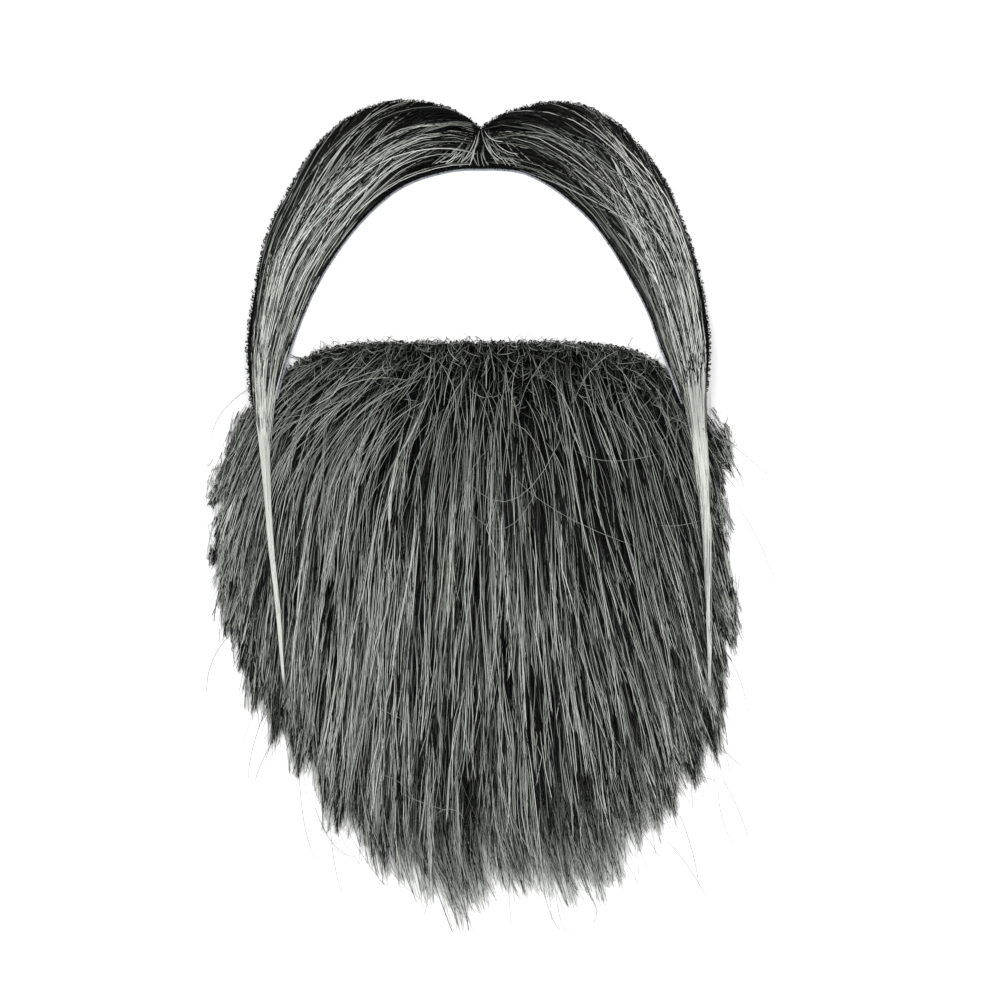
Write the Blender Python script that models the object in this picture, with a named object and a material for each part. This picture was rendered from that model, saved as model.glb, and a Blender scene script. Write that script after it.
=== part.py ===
"""Fake beard and moustache of long pile, laid flat on its backing.

+X runs to the right, +Y from the beard's tips to the moustache, +Z up through the hair.
The origin is under the middle of the whole set, on the surface that it lies on.
"""

import math
import random
from collections import namedtuple

import bmesh
import bpy
from mathutils import Vector
from mathutils.bvhtree import BVHTree

MM = 0.001
SEED = 11
GAP = 0.3 * MM

# Knitted panel under the beard
BACKING_THICKNESS = 1.2 * MM
BACKING_LIP = 0.6 * MM
BACKING_CORNER_INSET = 1.5 * MM
BACKING_HEM_Y = -52 * MM
BACKING_HEM_ROUNDNESS = 3
BACKING_OUTLINE_STEPS = 40

# Pile coat of the beard
COAT_UNDERSIDE = BACKING_THICKNESS + GAP
COAT_EDGE_HEIGHT = 4 * MM
COAT_SHOULDER = 3
COAT_ROW_STEPS = 2
COAT_COLUMNS = 22

# Fall of the hair: it fans outwards most at the top corners and hangs straight at the fringe
LEAN_LEFT = math.radians(48)
LEAN_RIGHT = math.radians(38)
LEAN_REACH = 84 * MM
LEAN_TOP_Y = 45 * MM
LEAN_BOTTOM_Y = -150 * MM
LEAN_POWER = 1.5

# Every lock is a flat strip that swells from its root and is drawn to a point
LOCK_FLATNESS = 0.36
LOCK_SIDES = 6
LOCK_STEPS = 6
LOCK_ROOT_SHARE = 0.6
LOCK_SWELL_END = 0.35
LOCK_TAPER_SHARE = 0.5
LOCK_TIP_RADIUS = 0.35 * MM
LOCK_WELD = 0.01 * MM

# Locks along the outline
EDGE_LOCK_STRETCH = (0.95, 1.05)
EDGE_LOCK_ROOT_DEPTH = 0.55
EDGE_LOCK_FALL = 1.2
EDGE_LOCK_FLOOR = 0.4 * MM

# Locks laid over the coat in tiers, as shares of its length and half width
COVER_TIERS = 5
COVER_PER_TIER = 9
COVER_FIRST = 0.02
COVER_LAST = 0.64
COVER_SPREAD = 0.85
COVER_SHIFT = 0.04
COVER_START_SHIFT = 0.02
COVER_LENGTH = 0.28
COVER_STRETCH = (0.85, 1.15)
COVER_LOCK_RADIUS = 4.6 * MM
COVER_ROOT_SINK = 0.45 * MM
COVER_TIP_PROUD = 0.65 * MM

# Locks that run over the hem and thin the coat out into its fringe
HEM_LOCK_COUNT = 12
HEM_LOCK_SPREAD = 0.9
HEM_LOCK_START = 0.74
HEM_LOCK_TURN = 0.6
HEM_LOCK_REACH = 11 * MM
HEM_LOCK_STRETCH = (0.7, 1.3)
HEM_LOCK_RADIUS = 6.4 * MM
HEM_LOCK_SINK = 0.5 * MM
HEM_LOCK_TIP_Z = 2.2 * MM

# Moustache: adhesive strip, knit and hair lie over each other
TAPE_THICKNESS = 0.4 * MM
TAPE_REACH = 0.6
TAPE_LIP = 0.6 * MM
KNIT_THICKNESS = 1.2 * MM
KNIT_BASE = TAPE_THICKNESS + GAP
HAIR_BASE = KNIT_BASE + KNIT_THICKNESS + GAP
HAIR_INSET_OUTER = 1.0 * MM
HAIR_INSET_INNER = 0.7 * MM
HAIR_CROWN = 5.2 * MM
HAIR_CROWN_AT_NOTCH = 2.4 * MM
HAIR_CROWN_REACH = 26 * MM
HAIR_CROWN_PER_WIDTH = 0.42
HAIR_DOME_POWER = 0.6
HAIR_RIDGES = 3
HAIR_RIDGE_DEPTH = 0.14
HAIR_RING_POINTS = 13
HAIR_SETTLE_LENGTH = 16 * MM
NOTCH_CLEARANCE = 0.7 * MM
STATION_SPACING = 4.6 * MM
STATION_FINENESS = 12

# Legs of the moustache where they cross the beard
LIFT_SPACING = 1.5 * MM
LIFT_ACROSS = (-0.06, 0, 0.2, 0.4, 0.6, 0.8, 1, 1.08)
LIFT_SLOPE = 0.3
LEG_CLEARANCE = 0.45 * MM
LEG_KEEPOUT = 8 * MM
LEG_KEEPOUT_ROWS = 4
ABOVE_ALL = 100 * MM

# Rows across the coat from its cut top edge to the lower hem, in millimetres.
# The row runs from its left end over its middle to its right end, and height is the crown of the pile.
CoatRow = namedtuple("CoatRow", "left_x left_y middle_y right_x right_y roundness height")
COAT_ROWS = (
    CoatRow(-79.0, 8, 55.5, 79.5, 15, 6.0, 4.0),
    CoatRow(-80.0, 1, 49.0, 79.0, 9, 5.0, 9.0),
    CoatRow(-80.0, -8, 36.0, 77.5, 2, 3.6, 14.0),
    CoatRow(-79.5, -18, 16.0, 77.0, -11, 3.0, 18.0),
    CoatRow(-77.5, -29, -8.0, 77.5, -25, 2.6, 20.0),
    CoatRow(-73.0, -41, -33.0, 78.5, -40, 2.2, 19.5),
    CoatRow(-69.0, -54, -57.0, 76.0, -56, 2.0, 17.5),
    CoatRow(-61.0, -67, -79.0, 72.5, -72, 2.0, 14.0),
    CoatRow(-50.0, -80, -96.0, 62.0, -86, 2.0, 10.5),
    CoatRow(-38.0, -93, -108.0, 50.0, -99, 2.0, 6.5),
)

# Tips of the locks that make the ragged outline, in millimetres, round from the upper left.
LockTip = namedtuple("LockTip", "x y width length")
LOCK_TIPS = (
    LockTip(-78.5, 21, 9, 24),
    LockTip(-84.0, 4, 10, 30),
    LockTip(-83.5, -14, 11, 30),
    LockTip(-81.5, -25, 9, 30),
    LockTip(-79.5, -36, 10, 30),
    LockTip(-74.5, -48, 10, 30),
    LockTip(-71.0, -62, 11, 38),
    LockTip(-64.0, -73, 11, 38),
    LockTip(-56.5, -83, 12, 38),
    LockTip(-47.5, -93, 12, 38),
    LockTip(-43.5, -102, 10, 46),
    LockTip(-34.0, -107, 12, 46),
    LockTip(-29.0, -116, 11, 46),
    LockTip(-21.5, -117, 10, 46),
    LockTip(-13.5, -125, 11, 46),
    LockTip(-4.0, -133.5, 13, 46),
    LockTip(2.5, -126, 10, 46),
    LockTip(9.0, -120, 11, 46),
    LockTip(16.0, -122, 11, 46),
    LockTip(24.0, -122.5, 11, 46),
    LockTip(31.0, -125, 10, 46),
    LockTip(40.0, -124.5, 12, 46),
    LockTip(46.0, -119, 10, 46),
    LockTip(52.5, -107, 11, 46),
    LockTip(58.5, -103, 11, 46),
    LockTip(63.5, -96, 10, 38),
    LockTip(70.5, -87, 11, 38),
    LockTip(77.5, -77, 11, 38),
    LockTip(78.5, -61, 11, 38),
    LockTip(82.5, -41, 12, 30),
    LockTip(80.5, -24, 9, 30),
    LockTip(80.0, -8, 10, 30),
    LockTip(81.5, 16, 9, 24),
)

# Crescent of the moustache from the notch down each leg, in millimetres: its outer and its inner edge.
EdgePair = namedtuple("EdgePair", "outer_x outer_y inner_x inner_y")
LEFT_LEG = (
    EdgePair(2.0, 124.0, 2.0, 111.0),
    EdgePair(-2.5, 128.0, -3.5, 111.0),
    EdgePair(-11.0, 132.0, -10.0, 110.0),
    EdgePair(-22.0, 133.5, -18.5, 107.5),
    EdgePair(-32.5, 132.0, -26.0, 103.5),
    EdgePair(-43.0, 126.5, -34.0, 96.5),
    EdgePair(-52.0, 117.5, -40.5, 89.0),
    EdgePair(-59.0, 106.0, -46.5, 80.5),
    EdgePair(-65.0, 94.5, -51.5, 71.5),
    EdgePair(-68.5, 83.5, -55.0, 63.5),
    EdgePair(-71.0, 69.0, -58.0, 55.5),
    EdgePair(-72.5, 54.5, -60.5, 47.5),
    EdgePair(-71.5, 41.0, -62.5, 39.5),
    EdgePair(-70.5, 34.0, -64.0, 32.5),
)
RIGHT_LEG = (
    EdgePair(2.0, 124.0, 2.0, 111.0),
    EdgePair(7.5, 128.0, 8.5, 111.0),
    EdgePair(14.5, 131.0, 15.5, 110.0),
    EdgePair(25.0, 133.0, 23.0, 106.5),
    EdgePair(35.5, 132.0, 30.0, 101.5),
    EdgePair(46.0, 126.5, 38.0, 94.0),
    EdgePair(54.5, 118.0, 44.0, 86.0),
    EdgePair(61.0, 108.5, 49.5, 77.0),
    EdgePair(66.0, 97.5, 54.0, 69.0),
    EdgePair(70.0, 86.5, 57.0, 62.0),
    EdgePair(73.0, 74.0, 59.5, 54.5),
    EdgePair(75.0, 59.5, 62.5, 46.5),
    EdgePair(75.0, 48.5, 65.0, 39.5),
    EdgePair(74.0, 37.0, 68.0, 32.5),
)

# Loose end of each hank past its backing, in millimetres.
TipStop = namedtuple("TipStop", "x y width")
LEFT_TIP = (
    TipStop(-66.0, 21.0, 3.8),
    TipStop(-65.5, 5.0, 3.1),
    TipStop(-64.0, -11.0, 2.2),
    TipStop(-62.0, -27.0, 1.7),
    TipStop(-61.0, -43.0, 1.4),
    TipStop(-60.0, -55.5, 0.8),
)
RIGHT_TIP = (
    TipStop(72.0, 21.0, 5.0),
    TipStop(73.5, 5.0, 4.2),
    TipStop(74.5, -11.0, 2.6),
    TipStop(74.5, -27.0, 1.7),
    TipStop(75.0, -43.0, 1.3),
    TipStop(75.0, -55.5, 0.8),
)


def clear_scene():
    for obj in list(bpy.data.objects):
        bpy.data.objects.remove(obj, do_unlink=True)


def new_collection(name, helper=False):
    collection = bpy.data.collections.new(name)
    bpy.context.scene.collection.children.link(collection)
    collection.hide_render = helper
    return collection


def material(name, colour, roughness):
    result = bpy.data.materials.new(name)
    result.use_nodes = True
    shader = result.node_tree.nodes["Principled BSDF"]
    shader.inputs["Base Color"].default_value = (*colour, 1)
    shader.inputs["Roughness"].default_value = roughness
    shader.inputs["Metallic"].default_value = 0
    return result


def in_metres(rows):
    """The same rows with every length in metres; roundness is a plain power and stays."""
    kept = {"roundness"}
    return [
        row._make(value if field in kept else value * MM for field, value in zip(row._fields, row))
        for row in rows
    ]


def smooth_rows(rows, steps):
    """Rows read from a smooth curve through the given ones, with this many steps between two of them."""
    points = [Vector(row) for row in rows]
    result = []
    for i in range(len(points) - 1):
        before = points[max(i - 1, 0)]
        here = points[i]
        after = points[i + 1]
        beyond = points[min(i + 2, len(points) - 1)]
        for k in range(steps):
            t = k / steps
            pull_here = (after - before) * 0.5
            pull_after = (beyond - here) * 0.5
            result.append(
                here * (2 * t**3 - 3 * t**2 + 1)
                + pull_here * (t**3 - 2 * t**2 + t)
                + after * (3 * t**2 - 2 * t**3)
                + pull_after * (t**3 - t**2)
            )
    result.append(points[-1])
    return [rows[0]._make(row) for row in result]


def row_point(row, side):
    """Place on a coat row at side, which runs from -1 at its left end to 1 at its right end."""
    middle_x = (row.left_x + row.right_x) / 2
    end_x = row.right_x if side > 0 else row.left_x
    end_y = row.right_y if side > 0 else row.left_y
    x = middle_x + (end_x - middle_x) * abs(side)
    y = row.middle_y + (end_y - row.middle_y) * abs(side) ** row.roundness
    return x, y


def coat_point(rows, along, side):
    """Place on the coat's upper face; along runs from 0 at the top edge to 1 at the hem."""
    place = min(max(along, 0), 1) * (len(rows) - 1)
    index = min(int(place), len(rows) - 2)
    part = place - index
    row = rows[0]._make(a + (b - a) * part for a, b in zip(rows[index], rows[index + 1]))
    x, y = row_point(row, side)
    crown = math.sqrt(1 - abs(side) ** COAT_SHOULDER)
    return Vector((x, y, COAT_EDGE_HEIGHT + (row.height - COAT_EDGE_HEIGHT) * crown))


def put(mesh, name, collection, finish):
    obj = bpy.data.objects.new(name, mesh)
    collection.objects.link(obj)
    mesh.materials.clear()
    mesh.materials.append(finish)
    return obj


def mesh_from(bm, name):
    bmesh.ops.recalc_face_normals(bm, faces=bm.faces)
    mesh = bpy.data.meshes.new(name)
    bm.to_mesh(mesh)
    bm.free()
    mesh.shade_smooth()
    mesh.set_sharp_from_angle(angle=math.radians(50))
    return mesh


def make_beard_backing(rows, collection, finish):
    top = rows[0]
    hem = top._replace(
        left_x=top.left_x + BACKING_CORNER_INSET,
        left_y=top.left_y - BACKING_CORNER_INSET,
        middle_y=BACKING_HEM_Y,
        right_x=top.right_x - BACKING_CORNER_INSET,
        right_y=top.right_y - BACKING_CORNER_INSET,
        roundness=BACKING_HEM_ROUNDNESS,
    )
    steps = BACKING_OUTLINE_STEPS
    sides = [math.sin(math.pi * (k / steps - 0.5)) for k in range(steps + 1)]
    outline = [(row_point(top, s)[0], row_point(top, s)[1] + BACKING_LIP) for s in sides]
    outline += [row_point(hem, s) for s in reversed(sides)]
    curve = bpy.data.curves.new("beard_backing", "CURVE")
    curve.dimensions = "2D"
    curve.fill_mode = "BOTH"
    curve.extrude = BACKING_THICKNESS / 2
    spline = curve.splines.new("POLY")
    spline.points.add(len(outline) - 1)
    for point, (x, y) in zip(spline.points, outline):
        point.co = (x, y, 0, 1)
    spline.use_cyclic_u = True
    obj = bpy.data.objects.new("beard_backing", curve)
    obj.location.z = BACKING_THICKNESS / 2
    curve.materials.append(finish)
    collection.objects.link(obj)
    return obj


def make_coat(rows, collection, finish):
    """The crowned body of the pile: an upper face laid over the rows, closed down to a flat underside."""
    fine = smooth_rows(rows, COAT_ROW_STEPS)
    bm = bmesh.new()
    bmesh.ops.create_grid(bm, x_segments=COAT_COLUMNS, y_segments=len(fine) - 1, size=1)
    for vert in bm.verts:
        vert.co = coat_point(fine, (1 - vert.co.y) / 2, vert.co.x)
    made = bmesh.ops.extrude_face_region(bm, geom=bm.faces[:])
    for item in made["geom"]:
        if isinstance(item, bmesh.types.BMVert):
            item.co.z = COAT_UNDERSIDE
    return put(mesh_from(bm, "beard_fur"), "beard_fur", collection, finish)


def lean_at(x, y):
    """Angle from straight down at which the hair falls there; it fans outwards at the sides."""
    limit = LEAN_LEFT if x < 0 else LEAN_RIGHT
    fade = (y - LEAN_BOTTOM_Y) / (LEAN_TOP_Y - LEAN_BOTTOM_Y)
    return limit * (x / LEAN_REACH) * min(max(fade, 0), 1) ** LEAN_POWER


def lock_section(collection):
    """Flattened section that each lock is swept from, one unit in half width."""
    curve = bpy.data.curves.new("lock_section", "CURVE")
    curve.dimensions = "2D"
    spline = curve.splines.new("POLY")
    spline.points.add(LOCK_SIDES - 1)
    for k, point in enumerate(spline.points):
        angle = 2 * math.pi * k / LOCK_SIDES
        point.co = (math.cos(angle), LOCK_FLATNESS * math.sin(angle), 0, 1)
    spline.use_cyclic_u = True
    obj = bpy.data.objects.new("lock_section", curve)
    obj.hide_render = True
    collection.objects.link(obj)
    return obj


def make_lock(path, radii, section, collection, name):
    """A tapered lock swept along path, turned into a closed mesh."""
    curve = bpy.data.curves.new(name, "CURVE")
    curve.dimensions = "3D"
    curve.twist_mode = "Z_UP"
    curve.bevel_mode = "OBJECT"
    curve.bevel_object = section
    curve.use_fill_caps = True
    spline = curve.splines.new("POLY")
    spline.points.add(len(path) - 1)
    for point, place, radius in zip(spline.points, path, radii):
        point.co = (*place, 1)
        point.radius = radius
    swept = bpy.data.objects.new(name + "_path", curve)
    collection.objects.link(swept)
    graph = bpy.context.evaluated_depsgraph_get()
    mesh = bpy.data.meshes.new_from_object(swept.evaluated_get(graph))
    bm = bmesh.new()
    bm.from_mesh(mesh)
    bmesh.ops.remove_doubles(bm, verts=bm.verts, dist=LOCK_WELD)
    bmesh.ops.recalc_face_normals(bm, faces=bm.faces)
    bm.to_mesh(mesh)
    bm.free()
    lock = bpy.data.objects.new(name, mesh)
    lock.matrix_world = swept.matrix_world
    lock.hide_render = True
    lock.display_type = "WIRE"
    collection.objects.link(lock)
    bpy.data.objects.remove(swept, do_unlink=True)
    return lock


def lock_radius(t, full):
    """Half width at t along a lock, from 0 at its root to 1 at its tip."""
    swell = LOCK_ROOT_SHARE + (1 - LOCK_ROOT_SHARE) * min(t / LOCK_SWELL_END, 1)
    taper = min((1 - t) / LOCK_TAPER_SHARE, 1)
    return max(LOCK_TIP_RADIUS, full * swell * taper)


def lock_steps():
    return [n / LOCK_STEPS for n in range(LOCK_STEPS + 1)]


def height_on(tree, x, y):
    hit = tree.ray_cast(Vector((x, y, ABOVE_ALL)), Vector((0, 0, -1)))[0]
    return hit.z if hit else 0


def fall_at(x, y):
    angle = lean_at(x, y)
    return Vector((math.sin(angle), -math.cos(angle), 0))


def edge_lock(tip, tree, rng):
    """From inside the coat, down the fall of the hair, out to a tip near the surface below."""
    step = tip.length * rng.uniform(*EDGE_LOCK_STRETCH) / LOCK_STEPS
    places = [Vector((tip.x, tip.y, 0))]
    for _ in range(LOCK_STEPS):
        places.append(places[-1] - step * fall_at(places[-1].x, places[-1].y))
    places.reverse()
    root = places[0]
    pile = height_on(tree, root.x, root.y) - COAT_UNDERSIDE
    root_z = COAT_UNDERSIDE + pile * EDGE_LOCK_ROOT_DEPTH
    radii = [lock_radius(t, tip.width / 2) for t in lock_steps()]
    for t, place, radius in zip(lock_steps(), places, radii):
        lowest = COAT_UNDERSIDE if place.y > BACKING_HEM_Y else EDGE_LOCK_FLOOR
        rest = lowest + radius * LOCK_FLATNESS + GAP
        place.z = max(root_z * (1 - t) ** EDGE_LOCK_FALL, rest)
    return places, radii


def near_leg(place, legs):
    return any(math.hypot(place.x - stop.x, place.y - stop.y) < LEG_KEEPOUT for stop in legs)


def cover_locks(rows, legs, rng):
    """Locks that lie over the coat in staggered tiers, like tiles, and keep off the moustache's legs."""
    radii = [lock_radius(t, COVER_LOCK_RADIUS) for t in lock_steps()]
    for tier in range(COVER_TIERS):
        start = COVER_FIRST + (COVER_LAST - COVER_FIRST) * tier / (COVER_TIERS - 1)
        count = COVER_PER_TIER - tier % 2
        for k in range(count):
            side = COVER_SPREAD * (2 * (k + 0.5) / count - 1)
            side += rng.uniform(-COVER_SHIFT, COVER_SHIFT)
            begin = start + rng.uniform(-COVER_START_SHIFT, COVER_START_SHIFT)
            length = COVER_LENGTH * rng.uniform(*COVER_STRETCH)
            places = [coat_point(rows, begin + length * t, side) for t in lock_steps()]
            for t, place in zip(lock_steps(), places):
                place.z += COVER_TIP_PROUD * t - COVER_ROOT_SINK * (1 - t)
            if not any(near_leg(place, legs) for place in places):
                yield places, radii


def hem_locks(rows, rng):
    """Locks that follow the coat to its hem and go on past it, down to the fringe."""
    radii = [lock_radius(t, HEM_LOCK_RADIUS) for t in lock_steps()]
    for k in range(HEM_LOCK_COUNT):
        side = HEM_LOCK_SPREAD * (2 * (k + 0.5) / HEM_LOCK_COUNT - 1)
        hem = coat_point(rows, 1, side)
        onward = HEM_LOCK_REACH * rng.uniform(*HEM_LOCK_STRETCH) * fall_at(hem.x, hem.y)
        places = []
        for t in lock_steps():
            on_coat = min(t / HEM_LOCK_TURN, 1)
            past = max(0, t - HEM_LOCK_TURN) / (1 - HEM_LOCK_TURN)
            place = coat_point(rows, HEM_LOCK_START + (1 - HEM_LOCK_START) * on_coat, side)
            place.z -= HEM_LOCK_SINK
            place += onward * past
            place.z += (HEM_LOCK_TIP_Z - place.z) * past
            places.append(place)
        yield places, radii


def make_fur(rows, legs, collection, helpers, finish):
    rng = random.Random(SEED)
    coat = make_coat(rows, collection, finish)
    bpy.context.view_layer.update()
    tree = BVHTree.FromObject(coat, bpy.context.evaluated_depsgraph_get())
    section = lock_section(helpers)
    locks = new_collection("locks", helper=True)
    shapes = [edge_lock(tip, tree, rng) for tip in in_metres(LOCK_TIPS)]
    shapes += cover_locks(rows, legs, rng)
    shapes += hem_locks(rows, rng)
    for k, (places, radii) in enumerate(shapes):
        make_lock(places, radii, section, locks, f"lock_{k:03d}")
    fuse = coat.modifiers.new("fuse_locks", "BOOLEAN")
    fuse.operation = "UNION"
    fuse.operand_type = "COLLECTION"
    fuse.collection = locks
    fuse.solver = "EXACT"
    return coat


def outer_of(pair):
    return Vector((pair.outer_x, pair.outer_y))


def inner_of(pair):
    return Vector((pair.inner_x, pair.inner_y))


def middle_of(pair):
    return (outer_of(pair) + inner_of(pair)) / 2


def stations(pairs, spacing):
    """Edge pairs evenly spaced along the middle of a leg."""
    fine = smooth_rows(pairs, STATION_FINENESS)
    travelled = [0]
    for a, b in zip(fine, fine[1:]):
        travelled.append(travelled[-1] + (middle_of(b) - middle_of(a)).length)
    count = max(2, round(travelled[-1] / spacing))
    result = [fine[0]]
    for k in range(1, count):
        goal = travelled[-1] * k / count
        i = max(j for j, length in enumerate(travelled) if length <= goal)
        part = (goal - travelled[i]) / (travelled[i + 1] - travelled[i])
        result.append(fine[0]._make(a + (b - a) * part for a, b in zip(fine[i], fine[i + 1])))
    return [*result, fine[-1]]


def tip_pairs(tip, leg):
    """The loose end of a hank as edge pairs, so that it goes on from the leg in one loft."""
    outward = -1 if leg[-1].outer_x < leg[-1].inner_x else 1
    pairs = [leg[-1]]
    for stop in tip:
        half = outward * stop.width / 2
        pairs.append(EdgePair(stop.x + half, stop.y, stop.x - half, stop.y))
    return pairs


def lift_profile(leg, tip, tree):
    """Places along a leg with the height of its lowest layer: flat on the ground, raised over the beard."""
    run = stations(leg, LIFT_SPACING) + stations(tip_pairs(tip, leg), LIFT_SPACING)[1:]
    needs = []
    for pair in run:
        reach = inner_of(pair) - outer_of(pair)
        across = [outer_of(pair) + reach * t for t in LIFT_ACROSS]
        below = max(height_on(tree, place.x, place.y) for place in across)
        needs.append(below + LEG_CLEARANCE if below else 0)
    middles = [middle_of(pair) for pair in run]
    profile = []
    for here in middles:
        slopes = [need - LIFT_SLOPE * (middle - here).length for need, middle in zip(needs, middles)]
        profile.append((here, max(0, *slopes)))
    return profile


def lift_at(profile, pair):
    """Height of the lowest layer at an edge pair, between the two places of the profile nearest to it."""
    here = middle_of(pair)
    (first, low), (second, high) = sorted(profile, key=lambda stop: (stop[0] - here).length)[:2]
    near = (first - here).length
    far = (second - here).length
    return (low * far + high * near) / (near + far)


def loft(rings, name):
    """Closed solid through rings of equal point counts, with flat ends."""
    bm = bmesh.new()
    loops = [[bm.verts.new(point) for point in ring] for ring in rings]
    count = len(rings[0])
    for a, b in zip(loops, loops[1:]):
        for k in range(count):
            n = (k + 1) % count
            bm.faces.new((a[k], a[n], b[n], b[k]))
    bm.faces.new(loops[0])
    bm.faces.new(reversed(loops[-1]))
    return mesh_from(bm, name)


def strip_ring(outer, inner, bottom, top):
    return [
        (outer.x, outer.y, bottom),
        (inner.x, inner.y, bottom),
        (inner.x, inner.y, top),
        (outer.x, outer.y, top),
    ]


def make_knit(run, collection, finish):
    rings = [
        strip_ring(outer_of(pair), inner_of(pair), lift + KNIT_BASE, lift + KNIT_BASE + KNIT_THICKNESS)
        for pair, lift in run
    ]
    return put(loft(rings, "moustache_backing"), "moustache_backing", collection, finish)


def make_tape(run, collection, finish):
    rings = []
    for pair, lift in run[1:-1]:
        outward = outer_of(pair) - inner_of(pair)
        edge = inner_of(pair) - outward.normalized() * TAPE_LIP
        back = inner_of(pair) + outward * TAPE_REACH
        rings.append(strip_ring(back, edge, lift, lift + TAPE_THICKNESS))
    return put(loft(rings, "moustache_tape"), "moustache_tape", collection, finish)


def hair_ring(outer, inner, base, crown):
    """Section of a hank: flat below, crowned and ridged into parallel locks above."""
    ring = [(outer.x, outer.y, base), (inner.x, inner.y, base)]
    for k in range(HAIR_RING_POINTS):
        t = 1 - (k + 0.5) / HAIR_RING_POINTS
        dome = math.sin(math.pi * t) ** HAIR_DOME_POWER
        ridge = 1 - HAIR_RIDGE_DEPTH * (1 + math.cos(2 * math.pi * HAIR_RIDGES * t)) / 2
        place = outer + (inner - outer) * t
        ring.append((place.x, place.y, base + crown * dome * ridge))
    return ring


def hair_crown(travelled, width):
    rise = min(1, travelled / HAIR_CROWN_REACH)
    crown = HAIR_CROWN_AT_NOTCH + (HAIR_CROWN - HAIR_CROWN_AT_NOTCH) * rise
    return min(crown, HAIR_CROWN_PER_WIDTH * width)


def make_hank(name, leg, tip, profile, collection, finish):
    """Hair from the notch, over the lobe and down the leg, into one long point."""
    held = stations(leg, STATION_SPACING)
    run = held + stations(tip_pairs(tip, leg), STATION_SPACING)[1:]
    rings = []
    travelled = 0
    for number, pair in enumerate(run):
        outer = outer_of(pair)
        inner = inner_of(pair)
        if number:
            travelled += (middle_of(pair) - middle_of(run[number - 1])).length
        past = max(0, number - len(held) + 1) * STATION_SPACING
        hold = 1 - min(1, past / HAIR_SETTLE_LENGTH)
        settled = min(1, max(0, past - STATION_SPACING) / HAIR_SETTLE_LENGTH)
        across = (inner - outer).normalized()
        outer += across * HAIR_INSET_OUTER * hold
        inner -= across * HAIR_INSET_INNER * hold
        if number == 0:
            clear = Vector((math.copysign(NOTCH_CLEARANCE, leg[-1].outer_x), 0))
            outer += clear
            inner += clear
        base = lift_at(profile, pair) + HAIR_BASE * (1 - settled)
        rings.append(hair_ring(outer, inner, base, hair_crown(travelled, (outer - inner).length)))
    return put(loft(rings, name), name, collection, finish)


def leg_stops(legs, tips):
    """Places that the legs and their loose ends lie over, which the cover locks keep clear of."""
    stops = [stop for tip in tips.values() for stop in smooth_rows(tip, 4)]
    for leg in legs.values():
        stops += [middle_of(pair) for pair in leg[-LEG_KEEPOUT_ROWS:]]
    return stops


def main():
    clear_scene()
    parts = new_collection("fake_beard")
    helpers = new_collection("helpers", helper=True)
    pile = material("grey_pile", (0.10, 0.105, 0.095), 0.55)
    hair = material("silver_hair", (0.24, 0.245, 0.23), 0.5)
    knit = material("black_knit", (0.012, 0.012, 0.012), 0.85)
    strip = material("pale_tape", (0.52, 0.53, 0.56), 0.5)

    rows = in_metres(COAT_ROWS)
    legs = {"left": in_metres(LEFT_LEG), "right": in_metres(RIGHT_LEG)}
    tips = {"left": in_metres(LEFT_TIP), "right": in_metres(RIGHT_TIP)}

    make_beard_backing(rows, parts, knit)
    fur = make_fur(rows, leg_stops(legs, tips), parts, helpers, pile)
    bpy.context.view_layer.update()
    tree = BVHTree.FromObject(fur, bpy.context.evaluated_depsgraph_get())

    profiles = {}
    sheets = {}
    for side, leg in legs.items():
        profiles[side] = lift_profile(leg, tips[side], tree)
        sheets[side] = [(pair, lift_at(profiles[side], pair)) for pair in stations(leg, STATION_SPACING)]
        name = f"moustache_hair_{side}"
        make_hank(name, leg, tips[side], profiles[side], parts, hair)
    whole = sheets["left"][::-1] + sheets["right"][1:]
    make_knit(whole, parts, knit)
    make_tape(whole, parts, strip)


main()
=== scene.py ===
"""Salt and pepper fake beard and its long-legged moustache, dressed strand by strand.

Lengths are in metres. +X runs to the right, +Y from the beard's tips to the moustache, and +Z up
through the hair. Hair lies inside the soft solids of the frame, which it stands for.
"""

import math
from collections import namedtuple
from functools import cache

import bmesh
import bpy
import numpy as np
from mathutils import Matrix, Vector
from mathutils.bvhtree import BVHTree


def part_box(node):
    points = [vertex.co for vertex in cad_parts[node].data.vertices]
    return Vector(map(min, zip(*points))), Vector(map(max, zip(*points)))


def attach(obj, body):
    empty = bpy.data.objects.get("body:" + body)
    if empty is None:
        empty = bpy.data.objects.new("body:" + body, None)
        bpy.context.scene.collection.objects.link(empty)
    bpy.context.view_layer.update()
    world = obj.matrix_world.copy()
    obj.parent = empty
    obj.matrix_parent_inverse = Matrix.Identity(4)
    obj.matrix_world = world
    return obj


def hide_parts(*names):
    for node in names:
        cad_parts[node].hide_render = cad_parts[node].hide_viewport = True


bl_info = {
    "name": "Fake Beard and Moustache",
    "version": (1, 0, 0),
    "blender": (4, 5, 0),
    "location": "3D View > Sidebar > Beard",
    "description": "Lays knit panels, adhesive strip and strands of hair over a packed fake beard",
    "category": "Object",
}

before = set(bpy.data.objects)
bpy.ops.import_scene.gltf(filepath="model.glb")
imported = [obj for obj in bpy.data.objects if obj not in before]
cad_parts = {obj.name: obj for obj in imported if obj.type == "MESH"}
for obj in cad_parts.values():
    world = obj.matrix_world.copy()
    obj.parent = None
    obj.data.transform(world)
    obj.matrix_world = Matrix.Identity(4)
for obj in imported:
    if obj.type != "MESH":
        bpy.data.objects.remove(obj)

MM = 0.001
BODY = "root"
UV_NAME = "OFBake"

# Photo's frame, seen from straight above
FRAME_WIDTH = 320 * MM
FRAME_CENTRE = (8.32 * MM, 5.12 * MM)
LENS = 150
SENSOR = 36

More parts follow.
